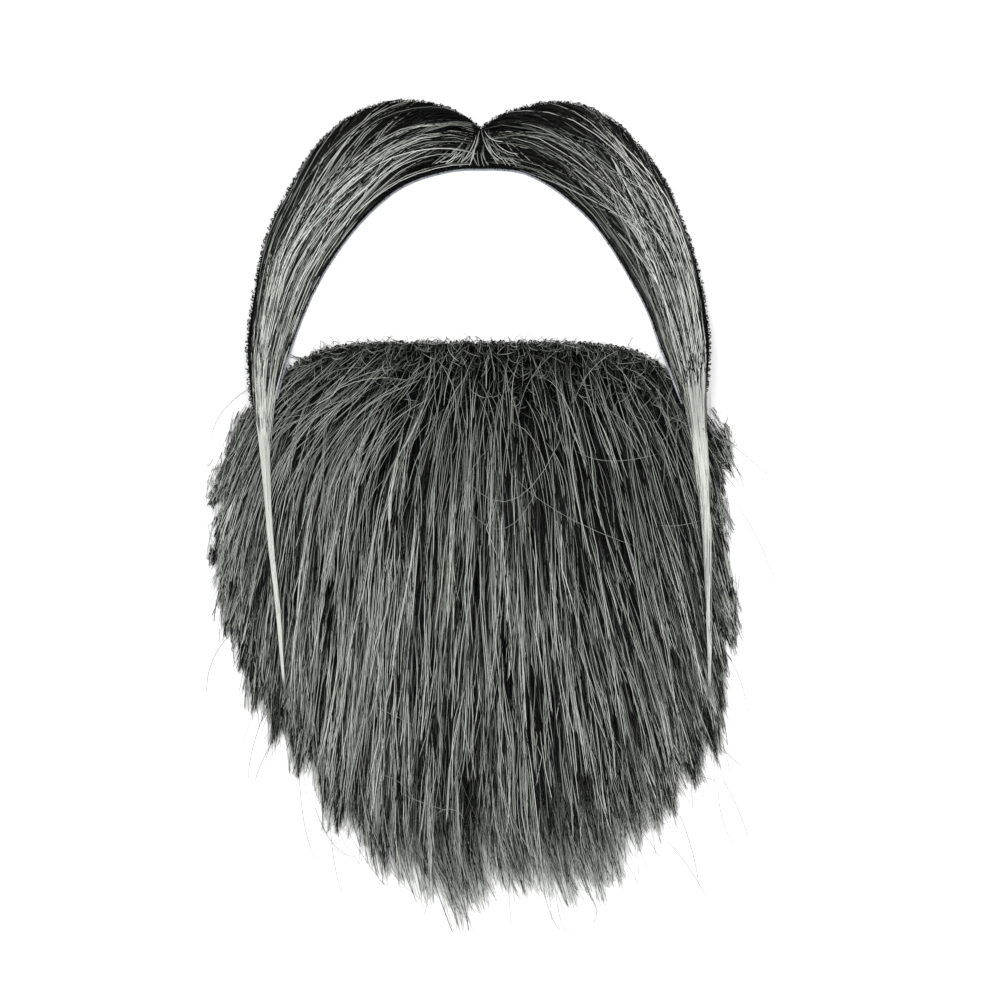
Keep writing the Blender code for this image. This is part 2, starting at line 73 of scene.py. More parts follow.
# Soft lamps over the beard: where each stands, in metres, and its share of the light
Lamp = namedtuple("Lamp", "name place share")
LAMPS = (
    Lamp("key_lamp", (-0.28, 0.38, 1.15), 0.6),
    Lamp("fill_lamp", (0.35, -0.3, 1.15), 0.4),
)
LAMP_SIZE = 1.0

# Grid on which the frame's soft solids are felt out
RELIEF_STEP = 0.8 * MM
RELIEF_MARGIN = 4 * MM
RELIEF_SOFTENING = 3
ABOVE_ALL = 0.1
TINY = 1e-12

# Every strand is a three-sided thread; its colour is read from its tone and its place along it
STRAND_SIDES = 3
STRAND_ROOT = 0.75
STRAND_TIP = 0.75
THINNING_START = 0.6
TIP_SHARE = 0.04
TONE_STEP = 0.008
MAP_RANGE = (0.02, 0.98)
MAP_SLANT = 0.04
CORNER_STAGGER = 0.1
BLACK_TONES = (0.02, 0.15)
WHITE_TONES = (0.74, 0.96)

# How strands lie: guides in waves, wisps that draw together, and heights in the pile
GUIDE_STEPS = 40
ANY_PHASE = 6.3
SHORTEST_CUT = 2 * MM
CLOSING_POWER = 1.3
WANDER_PACE = (6, 16)
PHASE_SPREAD = 977
SWING_PACE = 9
LOWEST_HAIR = 0.3 * MM
# Painted shade on fibres deep in the pile: how far down it reaches and how dark it gets
DEPTH_SHADE_REACH = 0.22
DEPTH_SHADE_DARKNESS = 0.88

# Knit of both panels
STITCH_WIDTH = 1.0 * MM
STITCH_HEIGHT = 1.2 * MM
WAVE_PERIOD = math.pi / 10
WALE_HEIGHT = 0.06 * MM
WALE_WIDTH = 4 * STITCH_WIDTH
PANEL_INSET = 1.0 * MM
PANEL_SIDE_INSET = 0.012
PANEL_CLEARANCE = 0.1 * MM
PANEL_COLUMNS = 80
PANEL_ROWS = 54
PANEL_SHARP_ANGLE = math.radians(50)
PANEL_HEM_Y = -52 * MM
PANEL_HEM_ROUNDNESS = 3
HEM_END_DROP = 3 * MM
BAND_COLUMNS = 150
BAND_ROWS = 12
BAND_OUTER_INSET = 0.045

# Cut loops of yarn along the panels' edges
YARN_RADIUS = 0.2 * MM
LOOP_STOPS = 7
LOOP_SHARE = 0.95
LOOP_SWEEP = (150, 340)
LOOP_START = (190, 290)
LOOP_REACH = (0.4, 1.3)
LOOP_WIDTH = (0.12, 0.42)
LOOP_LEAN = 0.6
LOOP_JITTER = 0.15 * MM
LOOP_BACK = 0.3 * MM
LOOP_ROW_BACK = 0.4 * MM
LOOP_ROW_LIFT = 0.35 * MM
LOOP_TWIST = 0.25 * MM
LOOP_CLEARANCE = 1.2 * YARN_RADIUS
RIM_SPAN = 0.99
RIM_SAMPLES = 400
RIM_LOOP_DROP = 0.8 * MM
RIM_LOOP_HEIGHT = 0.7 * MM
LEG_LOOP_SPAN = (0.004, 0.98)
LEG_SAMPLES = 300

# Top rim of the beard: it runs level and turns down at both corners
RIM_LEFT_X = -79.0 * MM
RIM_LEFT_Y = 8.6 * MM
RIM_MIDDLE_Y = 56.1 * MM
RIM_RIGHT_X = 79.5 * MM
RIM_RIGHT_Y = 15.6 * MM
RIM_ROUNDNESS = 6

# Fall of the beard's hair, as angles from straight down
FAN_TOP_Y = 42 * MM
FAN_END_Y = -6 * MM
FAN_LEFT = math.radians(34)
FAN_LEFT_START_X = -4 * MM
FAN_LEFT_RISE = 24 * MM
FAN_LEFT_END_X = -80 * MM
FAN_LEFT_FADE = 26 * MM
FAN_RIGHT = math.radians(10)
SPREAD_REACH = 52 * MM
LEFT_REST = math.radians(4)
RIGHT_REST = math.radians(17)
CENTRE_REST = math.radians(-2)
SIDE_FLARE = math.radians(18)
SIDE_FLARE_X = -58 * MM
SIDE_FLARE_WIDTH = 22 * MM
SIDE_FLARE_TOP_Y = 30 * MM
SIDE_FLARE_END_Y = -70 * MM
SWEEP = math.radians(17)
SWEEP_TOP_Y = -90 * MM
SWEEP_DEPTH = 30 * MM
SWEEP_LOST_AT_RIGHT = 0.8

# Wisps of the beard's pile. A bright wisp is pale, thin and on top. Swerves and the turns of waves
# are in degrees here and below, and lengths, widths and overhangs that are drawn in millimetres.
TIER_NAMES = ("beard_pile_lower", "beard_pile_middle", "beard_pile_upper")
BRIGHT_SHARE = 0.32
SWEPT_SHARE = 0.45
FULL_SWEEP = 1.3
PLAIN_SWEEP = (0.3, 0.65)
PILE_SWERVE = 6
PILE_WAVE_TURN = (1, 9)
PILE_WAVE_PACE = (4, 10)
PILE_WANDER = 1.9 * MM
PILE_OVERHANG = 1.2
WISP_WIDTH = (1.5, 6.0)
WISP_CLOSING = (0.0, 0.5)
WISP_LEVEL = (0.45, 0.92)
BRIGHT_WIDTH_SHARE = 0.5
BRIGHT_CLOSING = 0.35
BRIGHT_LEVEL = 0.62
BRIGHT_LEVEL_SHARE = 0.4
STRAND_LEVEL = (-0.1, 0.04)
STRAND_LENGTH_SHARE = (0.78, 1)
PILE_LEVELS = (0.1, 1.03)
PILE_ROOT_Z = 0.9 * MM
PILE_RISE = 10 * MM
PILE_RISE_BY_LEVEL = 30 * MM
PILE_SWING = 0.05
PILE_THICKNESS = (0.6, 1.4)
PILE_TONE_SPREAD = 0.25
BRIGHT_TONE = (0.88, 0.06)
PLAIN_TONE = (0.66, 0.1)
BRIGHT_BLACK_SHARE = 0.16
PLAIN_BLACK_SHARE = 0.32
ODD_TONE_SHARE = 0.44
# Painted shade: wisp tones drop towards the right side, as if less light fell there
RIGHT_SIDE_SHADE = 0.22
RIGHT_SIDE_SHADE_START_X = -15 * MM

# Strands of the edge locks: a tone's shares are its spread, the black fibres and the white ones
LOCK_POINTS = 4
LOCK_DEPTH = 0.8
LOCK_RISE = 8 * MM
LOCK_ROOT_Z = 2 * MM
LOCK_THICKNESS = (0.7, 1.15)
LOCK_TONE = (0.68, 0.08)
LOCK_TONE_SHARES = (0.2, 0.27, 0.25)
LOCK_SWERVE = 4
LOCK_GATHER = 1.5
POINT_SHORTER = (0.1, 0.9)
POINT_WIDTH_SHARE = 0.4
POINT_BLUNTNESS = 0.15
END_SCATTER = 0.3

# Pale hairs on top: most under the top rim, fewer at the right, and more again in the swept fringe
SPARE_ROOTS = 4
TOP_HAIR_END_Y = -104 * MM
TOP_HAIR_LEAST = 0.12
TOP_HAIR_THIN_Y = 5 * MM
TOP_HAIR_FADE = 35 * MM
FRINGE_TOP_Y = SWEEP_TOP_Y + 10 * MM
FRINGE_FADE = 20 * MM
FRINGE_HAIRS = 0.4
FEWER_AT_RIGHT = 0.6
FEWER_AT_RIGHT_FADE = 30 * MM
TOP_HAIR_SWERVE = 7
FAN_SWERVE = 24
FRINGE_SWERVE = 20
TOP_HAIR_WAVE_TURN = (1, 7)
TOP_HAIR_WAVE_PACE = (3, 9)
TOP_HAIR_LENGTH = (10, 42)
TOP_HAIR_OVERHANG = 0.5 * MM
TOP_HAIR_STOPS = 9
TOP_HAIR_LEVEL = (0.94, 1.05)
TOP_HAIR_ROOT_Z = 1.5 * MM
TOP_HAIR_RISE = 5 * MM
TOP_HAIR_LOWEST = 0.5 * MM
TOP_HAIR_THICKNESS = (0.6, 0.95)

# Short curled hairs at the top rim; those right at it are shorter and lie any way
CURL_STOPS = 6
CURL_SPAN = 0.98
CURLS_AT_RIM = 0.3
CURL_DROP = 10 * MM
RIM_CURL_DROP = 1.5 * MM
CURL_OVER_RIM = 1.5 * MM
CURL_SCATTER = 0.6
RIM_CURL_SCATTER = 1.6
CURL_TURN = 75
CURL_LENGTH = (2.5, 9)
RIM_CURL_SHARE = 0.5
CURL_LEVEL = (0.5, 1.06)
CURL_RISE = 3 * MM
CURL_LOWEST = 0.4 * MM
CURL_THICKNESS = (0.5, 0.85)

# Stray hairs: those of the table below, and others that leave the outline at the sides and the fringe
FLYAWAY_STOPS = 10
FLYAWAY_TONES = (0.2, 0.6)
FLYAWAY_THICKNESS = (0.35, 0.7)
STRAY_LEVEL = 1.03
STRAY_ROOT_Z = 0.5 * MM
STRAY_RISE = 0.5 * MM
RING_TONE = 0.85
RING_OPENING = 0.25
SPARE_STRAY_ROOTS = 6
STRAY_END_Y = -95 * MM
STRAY_SIDE_X = 50 * MM
STRAY_FRINGE_Y = -55 * MM
STRAY_SWERVE = 20
STRAY_WAVE_TURN = (4, 24)
STRAY_WAVE_PACE = (2, 8)
STRAY_LENGTH = (40, 80)
STRAY_OVERHANG = 3.0
LEAST_OVERHANG = 0.5 * MM
MOST_OVERHANG = 13 * MM
EDGE_STRAY_LEVEL = (0.6, 1.05)
EDGE_STRAY_ROOT_Z = 1.2 * MM
EDGE_STRAY_RISE = 20 * MM

# Locks that make the ragged edge of the beard, in millimetres: point, width and length
Lock = namedtuple("Lock", "x y width length")
LOCKS = (
    Lock(-77.0, 21.0, 9.0, 13.0),
    Lock(-84.0, 4.0, 10.0, 15.0),
    Lock(-83.5, -14.0, 11.0, 24.0),
    Lock(-81.5, -25.0, 9.0, 30.0),
    Lock(-79.5, -36.0, 10.0, 30.0),
    Lock(-74.5, -48.0, 10.0, 30.0),
    Lock(-71.0, -62.0, 11.0, 38.0),
    Lock(-64.0, -73.0, 11.0, 38.0),
    Lock(-56.5, -83.0, 12.0, 38.0),
    Lock(-47.5, -93.0, 12.0, 38.0),
    Lock(-43.5, -102.0, 10.0, 46.0),
    Lock(-34.0, -107.0, 12.0, 46.0),
    Lock(-29.0, -116.0, 11.0, 46.0),
    Lock(-21.5, -117.0, 10.0, 46.0),
    Lock(-13.5, -125.0, 11.0, 46.0),
    Lock(-4.0, -133.5, 13.0, 46.0),
    Lock(2.5, -126.0, 10.0, 46.0),
    Lock(9.0, -120.0, 11.0, 46.0),
    Lock(16.0, -122.0, 11.0, 46.0),
    Lock(24.0, -122.5, 11.0, 46.0),
    Lock(31.0, -125.0, 10.0, 46.0),
    Lock(40.0, -124.5, 12.0, 46.0),
    Lock(46.0, -119.0, 10.0, 46.0),
    Lock(52.5, -107.0, 11.0, 46.0),
    Lock(58.5, -103.0, 11.0, 46.0),
    Lock(63.5, -96.0, 10.0, 38.0),
    Lock(70.5, -87.0, 11.0, 38.0),
    Lock(77.5, -77.0, 11.0, 38.0),
    Lock(78.5, -61.0, 11.0, 38.0),
    Lock(82.5, -41.0, 12.0, 30.0),
    Lock(80.5, -24.0, 9.0, 30.0),
    Lock(80.0, -8.0, 10.0, 24.0),
    Lock(81.5, 16.0, 9.0, 14.0),
)

# Crescent of the moustache from the notch down each leg, in millimetres: its outer and inner edge.
# Past the leg the rows are the loose end of the hair.
EdgePair = namedtuple("EdgePair", "outer_x outer_y inner_x inner_y")
LEFT_LEG = (
    EdgePair(2.0, 124.0, 2.0, 111.0),
    EdgePair(-2.5, 128.0, -3.5, 111.0),
    EdgePair(-11.0, 132.0, -10.0, 110.0),
    EdgePair(-22.0, 133.5, -18.5, 107.5),
    EdgePair(-32.5, 132.0, -26.0, 103.5),
    EdgePair(-43.0, 126.5, -34.0, 96.5),
    EdgePair(-52.0, 117.5, -40.5, 89.0),
    EdgePair(-59.0, 106.0, -46.5, 80.5),
    EdgePair(-65.0, 94.5, -51.5, 71.5),
    EdgePair(-68.5, 83.5, -55.0, 63.5),
    EdgePair(-71.0, 69.0, -58.0, 55.5),
    EdgePair(-72.5, 54.5, -60.5, 47.5),
    EdgePair(-71.5, 41.0, -62.5, 39.5),
    EdgePair(-70.5, 34.0, -64.0, 32.5),
)
RIGHT_LEG = (
    EdgePair(2.0, 124.0, 2.0, 111.0),
    EdgePair(7.5, 128.0, 8.5, 111.0),
    EdgePair(14.5, 131.0, 15.5, 110.0),
    EdgePair(25.0, 133.0, 23.0, 106.5),
    EdgePair(35.5, 132.0, 30.0, 101.5),
    EdgePair(46.0, 126.5, 38.0, 94.0),
    EdgePair(54.5, 118.0, 44.0, 86.0),
    EdgePair(61.0, 108.5, 49.5, 77.0),
    EdgePair(66.0, 97.5, 54.0, 69.0),
    EdgePair(70.0, 86.5, 57.0, 62.0),
    EdgePair(73.0, 74.0, 59.5, 54.5),
    EdgePair(75.0, 59.5, 62.5, 46.5),
    EdgePair(75.0, 48.5, 65.0, 39.5),
    EdgePair(74.0, 37.0, 68.0, 32.5),
)
LEFT_END = (
    EdgePair(-67.5, 21.0, -65.0, 21.0),
    EdgePair(-66.4, 5.0, -64.4, 5.0),
    EdgePair(-64.9, -11.0, -63.1, -11.0),
    EdgePair(-62.8, -27.0, -61.3, -27.0),
    EdgePair(-61.5, -43.0, -60.4, -43.0),
    EdgePair(-60.0, -58.0, -59.4, -58.0),
)
RIGHT_END = (
    EdgePair(74.5, 21.0, 69.5, 21.0),
    EdgePair(75.6, 5.0, 71.4, 5.0),
    EdgePair(75.8, -11.0, 73.2, -11.0),
    EdgePair(75.3, -27.0, 73.6, -27.0),
    EdgePair(75.6, -43.0, 74.4, -43.0),
    EdgePair(75.4, -58.0, 74.6, -58.0),
)

# Single hairs that lie loose over the beard or stand off it, in millimetres: start, middle and end.
Stray = namedtuple("Stray", "start_x start_y middle_x middle_y end_x end_y tone")
STRAYS = (
    Stray(-12.0, 55.0, -12.5, 42.0, -11.0, 30.0, 0.80),
    Stray(-49.0, 21.5, -33.0, 35.0, -15.0, 44.0, 0.85),
    Stray(-65.0, 28.5, -58.0, 31.5, -50.5, 32.0, 0.80),
    Stray(-4.0, 59.0, -2.5, 57.5, -3.5, 55.0, 0.20),
    Stray(-8.0, 19.5, 12.0, 5.0, 30.5, 32.0, 0.85),
    Stray(30.5, 32.0, 37.0, 46.0, 48.0, 53.5, 0.85),
    Stray(32.5, 56.5, 19.0, 45.0, 14.0, 29.5, 0.82),
    Stray(8.0, 19.0, 24.0, 3.0, 54.0, -10.5, 0.86),
    Stray(31.0, 22.0, 42.0, 17.5, 59.5, 20.0, 0.80),
    Stray(45.0, 37.0, 58.0, 30.0, 57.5, 45.0, 0.76),
    Stray(47.0, 50.0, 46.5, 48.5, 55.0, 49.5, 0.75),
    Stray(60.0, 28.0, 63.0, 31.0, 66.5, 32.5, 0.78),
    Stray(56.0, -2.5, 64.5, -3.0, 73.0, -1.0, 0.74),
    Stray(-46.0, -27.5, -41.0, -33.5, -33.0, -32.0, 0.74),
    Stray(-34.0, -59.0, -26.0, -62.5, -18.5, -66.5, 0.78),
    Stray(-26.0, -86.5, -17.0, -90.5, -8.0, -93.5, 0.80),
    Stray(-36.0, -81.5, -24.0, -84.0, -18.0, -93.0, 0.76),
    Stray(-5.0, 7.0, 9.0, -4.0, 21.0, 11.0, 0.70),
    Stray(74.0, 29.0, 86.0, 20.0, 96.0, 11.5, 0.22),
    Stray(84.0, 4.0, 92.0, -10.0, 97.0, -23.5, 0.25),
    Stray(72.0, 23.0, 80.0, 19.0, 88.0, 9.0, 0.25),
    Stray(80.0, -85.0, 85.0, -95.0, 88.0, -105.0, 0.30),
    Stray(62.0, -104.0, 69.0, -113.0, 75.5, -124.0, 0.30),
    Stray(-56.0, -82.0, -54.0, -100.0, -50.0, -111.0, 0.35),
    Stray(-51.0, -93.0, -45.0, -105.0, -38.0, -109.0, 0.35),
    Stray(-66.0, -60.0, -71.0, -75.0, -72.0, -85.0, 0.35),
    Stray(-46.0, -98.0, -44.5, -112.0, -41.5, -122.5, 0.20),
    Stray(-45.0, -93.0, -38.5, -109.0, -22.0, -121.5, 0.20),
    Stray(-41.0, -100.0, -33.0, -112.5, -27.5, -119.0, 0.25),
    Stray(-31.0, -108.0, -23.0, -117.5, -13.0, -125.5, 0.15),
    Stray(-17.0, -113.0, -15.0, -122.0, -16.5, -128.5, 0.30),
    Stray(22.0, -118.0, 24.5, -127.5, 28.0, -133.0, 0.20),
    Stray(26.0, -119.0, 28.0, -130.0, 31.0, -133.0, 0.25),
    Stray(11.0, -118.0, 11.5, -126.0, 12.5, -132.5, 0.30),
    Stray(34.0, -117.0, 39.0, -125.0, 37.5, -131.0, 0.20),
    Stray(74.0, -66.0, 81.0, -76.0, 86.5, -80.0, 0.25),
    Stray(79.0, -42.0, 85.0, -52.0, 88.0, -66.0, 0.25),
    Stray(78.0, -84.0, 79.5, -97.0, 85.0, -108.0, 0.30),
    Stray(66.0, -96.0, 70.0, -108.0, 72.0, -119.0, 0.30),
    Stray(-78.0, -38.0, -84.0, -47.0, -85.5, -58.0, 0.30),
    Stray(-70.0, 42.0, -80.0, 34.0, -84.0, 25.0, 0.35),
)

# Rings that single hairs curl into, in millimetres: centre, radius and how far round in degrees
Ring = namedtuple("Ring", "x y radius sweep")
RINGS = (
    Ring(13.1, 36.2, 1.2, 400.0),
    Ring(-7.5, -98.0, 4.5, 150.0),
)

# The moustache's legs, and how its wisps leave their roots for their place across the leg. A share
# across it runs from 0 at the outer edge to 1 at the inner one, and a ridge wisp lies on the pale
# ridge that the hair draws together into.
LEG_FINENESS = 8
END_PACE = 0.45
ROOT_CROWDING = 1.25
RIDGE_SHARE = 0.48
RIDGE_GOAL = (0.52, 0.2)
RIDGE_TO_END = 0.5
RIDGE_TONE = 0.84
RIDGE_LEAN = 0.52
RIDGE_LEAN_START = 20 * MM
RIDGE_LEAN_FADE = 70 * MM
OTHER_GOAL = (0.04, 0.96)
OTHERS_TO_END = 0.1
OTHER_TONE = 0.38
ROOTED_SHARE = 0.9
ROOTS_TO_NOTCH = 1.1
ROOTS_TO_EDGE = 1.8
ROOT_BESIDE_GOAL = (-0.12, 0.2)
ROOT_STAGGER = 4 * MM
WISP_REACH = (0.2, 0.7)
PULL = (30, 70)
DRIFT_POWER = 1.7
HANK_WIDTH = (0.02, 0.12)
HANK_CLOSING = (0.2, 0.9)
HANK_DEPTH = 0.36
HANK_TONE_SPREAD = 0.16
HANK_TONE_SHARES = (0.2, 0.42, 0.22)
HANK_THICKNESS = (0.7, 1.25)
STRAND_LAYER = (-0.06, 0.1)
SHORTEST_STRAND = 8 * MM
END_RAGGED = 0.03
END_STAGGER = 9 * MM
BLACK_TONE = 0.25
BLACK_REACH = 0.62
RIPPLE = 0.024
RIPPLE_FULL = 60 * MM
RIPPLE_PACE = (8, 25)
HANK_PACE = 35 * MM
BARE_BAND = 0.12
BARE_BAND_FADE = 12 * MM

# Shading and heights of the moustache's hair; its place on the map has a half for each
MAP_HALF = 0.48
ROOT_SHADE = 45 * MM
PALE_START = 0.3
PALE_FADE = 0.4
LEAST_HANK_DEPTH = 0.5 * MM
HANK_RISE = 18 * MM
LOOSE_START = 0.97
LOOSE_FADE = 15 * MM
END_LIFT = 1.5 * MM

# Fan of short hairs under the notch, with angles in degrees, and the fuzz at the cut edges
NOTCH_X = 2 * MM
NOTCH_Y = 124 * MM
NOTCH_FAN_HAIRS = 30
NOTCH_FAN_START = 4
NOTCH_FAN_SPREAD = 48
NOTCH_FAN_SCATTER = 6
NOTCH_FAN_WIDTH = 11 * MM
NOTCH_FAN_DEPTH = 8 * MM
NOTCH_FAN_END_Y = 111.5 * MM
NOTCH_FAN_LENGTH = (6, 16)
NOTCH_FAN_BEND = (0.3, 0.2)
NOTCH_FAN_ALONG = 4 * MM
NOTCH_FAN_TONES = (0.45, 0.95)
FUZZ_HAIRS = 300
FUZZ_STOPS = 4
OUTER_FUZZ_SHARE = 0.65
FUZZ_SCATTER = 1.0
FUZZ_BEND = 0.6
FUZZ_LENGTH = (0.3, 1.0)
FUZZ_HEIGHT = (-0.5, 0.6)
FUZZ_THICKNESS = (0.7, 1.3)
FUZZ_TONES = (0.02, 0.2)


def linear(hex_colour):
    """Linear RGBA of an sRGB colour written as six hex digits."""
    channels = [int(hex_colour[k:k + 2], 16) / 255 for k in (0, 2, 4)]
    return (*(c / 12.92 if c <= 0.04045 else ((c + 0.055) / 1.055) ** 2.4 for c in channels), 1)


def ease(t):
    """Smooth step from 0 to 1."""
    t = np.clip(t, 0, 1)
    return t * t * (3 - 2 * t)


def add_node(tree, kind, settings=None, links=None):
    """A node of this kind; settings name its properties or inputs, links its inputs' sources."""
    node = tree.nodes.new(kind)
    for key, value in (settings or {}).items():
        if key == "stops":
            fill_ramp(node.color_ramp, value)
        elif isinstance(key, int) or key in node.inputs:
            node.inputs[key].default_value = value
        else:
            setattr(node, key, value)
    for key, socket in (links or {}).items():
        tree.links.new(socket, node.inputs[key])
    return node


def fill_ramp(ramp, stops):
    while len(ramp.elements) < len(stops):
        ramp.elements.new(1)
    for element, (position, colour) in zip(ramp.elements, stops):
        element.position = position
        element.color = colour


def new_material(name, finish):
    """A material whose Principled shader has these plain values."""
    material = bpy.data.materials.new(name)
    material.use_nodes = True
    tree = material.node_tree
    shader = tree.nodes["Principled BSDF"]
    for socket, value in finish.items():
        shader.inputs[socket].default_value = value
    return material, tree, shader


def grey(value):
    return (value, value, value, 1)


def fibre_material(name, tones, shade, tip_colour, tip_share, finish):
    """Modacrylic hair: the tone across the map picks the fibre's own grey, and along the map painted
    shade darkens the fibre at its root, and it pales towards its tip unless it is a black one."""
    material, tree, shader = new_material(name, finish)
    place = add_node(tree, "ShaderNodeUVMap", {"uv_map": UV_NAME})
    split = add_node(tree, "ShaderNodeSeparateXYZ", None, {0: place.outputs["UV"]})
    tone = add_node(tree, "ShaderNodeValToRGB", {"stops": tones}, {0: split.outputs["X"]})
    # Painted shade: the fibre darker towards its root, down in the hair
    depth = add_node(tree, "ShaderNodeValToRGB", {"stops": shade}, {0: split.outputs["Y"]})
    shaded = add_node(
        tree,
        "ShaderNodeMix",
        {"data_type": "RGBA", "blend_type": "MULTIPLY", 0: 1.0},
        {6: tone.outputs["Color"], 7: depth.outputs["Color"]},
    )
    pale = add_node(tree, "ShaderNodeValToRGB", {"stops": tip_share}, {0: split.outputs["Y"]})
    grey_enough = add_node(
        tree,
        "ShaderNodeMapRange",
        {"From Min": 0.12, "From Max": 0.4},
        {"Value": split.outputs["X"]},
    )
    share = add_node(
        tree,
        "ShaderNodeMath",
        {"operation": "MULTIPLY"},
        {0: pale.outputs["Color"], 1: grey_enough.outputs["Result"]},
    )
    colour = add_node(
        tree,
        "ShaderNodeMix",
        {"data_type": "RGBA", "blend_type": "MIX", 7: tip_colour},
        {0: share.outputs["Value"], 6: shaded.outputs[2]},
    )
    tree.links.new(colour.outputs[2], shader.inputs["Base Color"])
    return material


def pile_material():
    """Modacrylic pile: black and pale fibres mixed to a grey that pales towards the tips, with painted
    shade darkening it at the roots.
    """
    tones = [
        (0.0, linear("030303")),
        (0.25, linear("282a28")),
        (0.5, linear("868d86")),
        (0.75, linear("c3c7bf")),
        (1.0, linear("eaebe6")),
    ]
    # Painted shade at the root, gone three quarters of the way down the strand
    shade = [(0.0, grey(0.1)), (0.16, grey(0.3)), (0.42, grey(0.78)), (0.75, grey(1.0))]
    pale = [(0.0, grey(0.0)), (0.45, grey(0.0)), (0.85, grey(0.45)), (1.0, grey(0.8))]
    finish = {"Roughness": 0.5, "Specular IOR Level": 0.14}
    return fibre_material("modacrylic_pile", tones, shade, linear("c3c6bf"), pale, finish)


def moustache_hair_material():
    """Modacrylic hair, straight and glossy: painted shade makes it near black at the root, and it is silver
    white at the tip.
    """
    tones = [
        (0.0, linear("040404")),
        (0.25, linear("1e201e")),
        (0.5, linear("7a7f79")),
        (0.75, linear("bcbfb8")),
        (1.0, linear("eff0eb")),
    ]
    # Painted shade at the root of each strand
    shade = [(0.0, grey(0.36)), (0.06, grey(0.62)), (0.2, grey(0.88)), (0.42, grey(1.0))]
    pale = [(0.0, grey(0.0)), (0.55, grey(0.0)), (0.73, grey(0.4)), (0.95, grey(0.9))]
    finish = {"Roughness": 0.45, "Specular IOR Level": 0.14}
    return fibre_material("modacrylic_hair", tones, shade, linear("cdd0c9"), pale, finish)


def yarn_material():
    """Spun polyester yarn, dyed black and matt, with a faint pale fuzz painted on as a sheen in random
    patches all over it.
    """
    material, tree, shader = new_material(
        "polyester_yarn", {"Roughness": 0.85, "Specular IOR Level": 0.25}
    )
    place = add_node(tree, "ShaderNodeTexCoord")
    fuzz = add_node(
        tree,
        "ShaderNodeTexNoise",
        {"Scale": 1 / (0.5 * MM), "Detail": 3.0},
        {"Vector": place.outputs["Object"]},
    )
    # Painted sheen: pale noise patches stand for fuzz that catches the light
    colour = add_node(
        tree,
        "ShaderNodeValToRGB",
        {"stops": [(0.35, linear("030303")), (0.62, linear("0e0f0f")), (0.8, linear("222423"))]},
        {0: fuzz.outputs["Fac"]},
    )
    tree.links.new(colour.outputs["Color"], shader.inputs["Base Color"])
    return material


def knit_material():
    """Warp knit of black polyester: rows of stitches, darker in the holes between them."""
    material, tree, shader = new_material(
        "warp_knit", {"Roughness": 0.95, "Specular IOR Level": 0.1}
    )
    place = add_node(tree, "ShaderNodeTexCoord")
    wales = add_node(
        tree,
        "ShaderNodeTexWave",
        {"bands_direction": "X", "Scale": WAVE_PERIOD / STITCH_WIDTH, "Distortion": 2.4},
        {"Vector": place.outputs["Object"]},
    )
    courses = add_node(
        tree,
        "ShaderNodeTexWave",
        {"bands_direction": "Y", "Scale": WAVE_PERIOD / STITCH_HEIGHT, "Distortion": 2.4},
        {"Vector": place.outputs["Object"]},
    )
    stitch = add_node(
        tree,
        "ShaderNodeMath",
        {"operation": "MULTIPLY"},
        {0: wales.outputs["Fac"], 1: courses.outputs["Fac"]},
    )
    colour = add_node(
        tree,
        "ShaderNodeValToRGB",
        {"stops": [(0.0, linear("020202")), (0.5, linear("080808")), (1.0, linear("202221"))]},
        {0: stitch.outputs["Value"]},
    )
    bump = add_node(
        tree,
        "ShaderNodeBump",
        {"Strength": 0.8, "Distance": 0.3 * MM},
        {"Height": stitch.outputs["Value"]},
    )
    tree.links.new(colour.outputs["Color"], shader.inputs["Base Color"])
    tree.links.new(bump.outputs["Normal"], shader.inputs["Normal"])
    return material


def tape_material():
    """Adhesive strip: a milky film with a faint lilac cast, mottled where the glue lies unevenly."""
    material, tree, shader = new_material(
        "adhesive_film", {"Specular IOR Level": 0.4}
    )
    place = add_node(tree, "ShaderNodeTexCoord")
    mottle = add_node(
        tree,
        "ShaderNodeTexNoise",
        {"Scale": 1 / (2.5 * MM), "Detail": 4.0},
        {"Vector": place.outputs["Object"]},
    )
    colour = add_node(
        tree,
        "ShaderNodeValToRGB",
        {"stops": [(0.3, linear("8b8f97")), (0.7, linear("a9acb3"))]},
        {0: mottle.outputs["Fac"]},
    )
    gloss = add_node(
        tree,
        "ShaderNodeMapRange",
        {"To Min": 0.35, "To Max": 0.6},
        {"Value": mottle.outputs["Fac"]},
    )
    bump = add_node(
        tree,
        "ShaderNodeBump",
        {"Strength": 0.3, "Distance": 0.1 * MM},
        {"Height": mottle.outputs["Fac"]},
    )
    tree.links.new(colour.outputs["Color"], shader.inputs["Base Color"])
    tree.links.new(gloss.outputs["Result"], shader.inputs["Roughness"])
    tree.links.new(bump.outputs["Normal"], shader.inputs["Normal"])
    return material


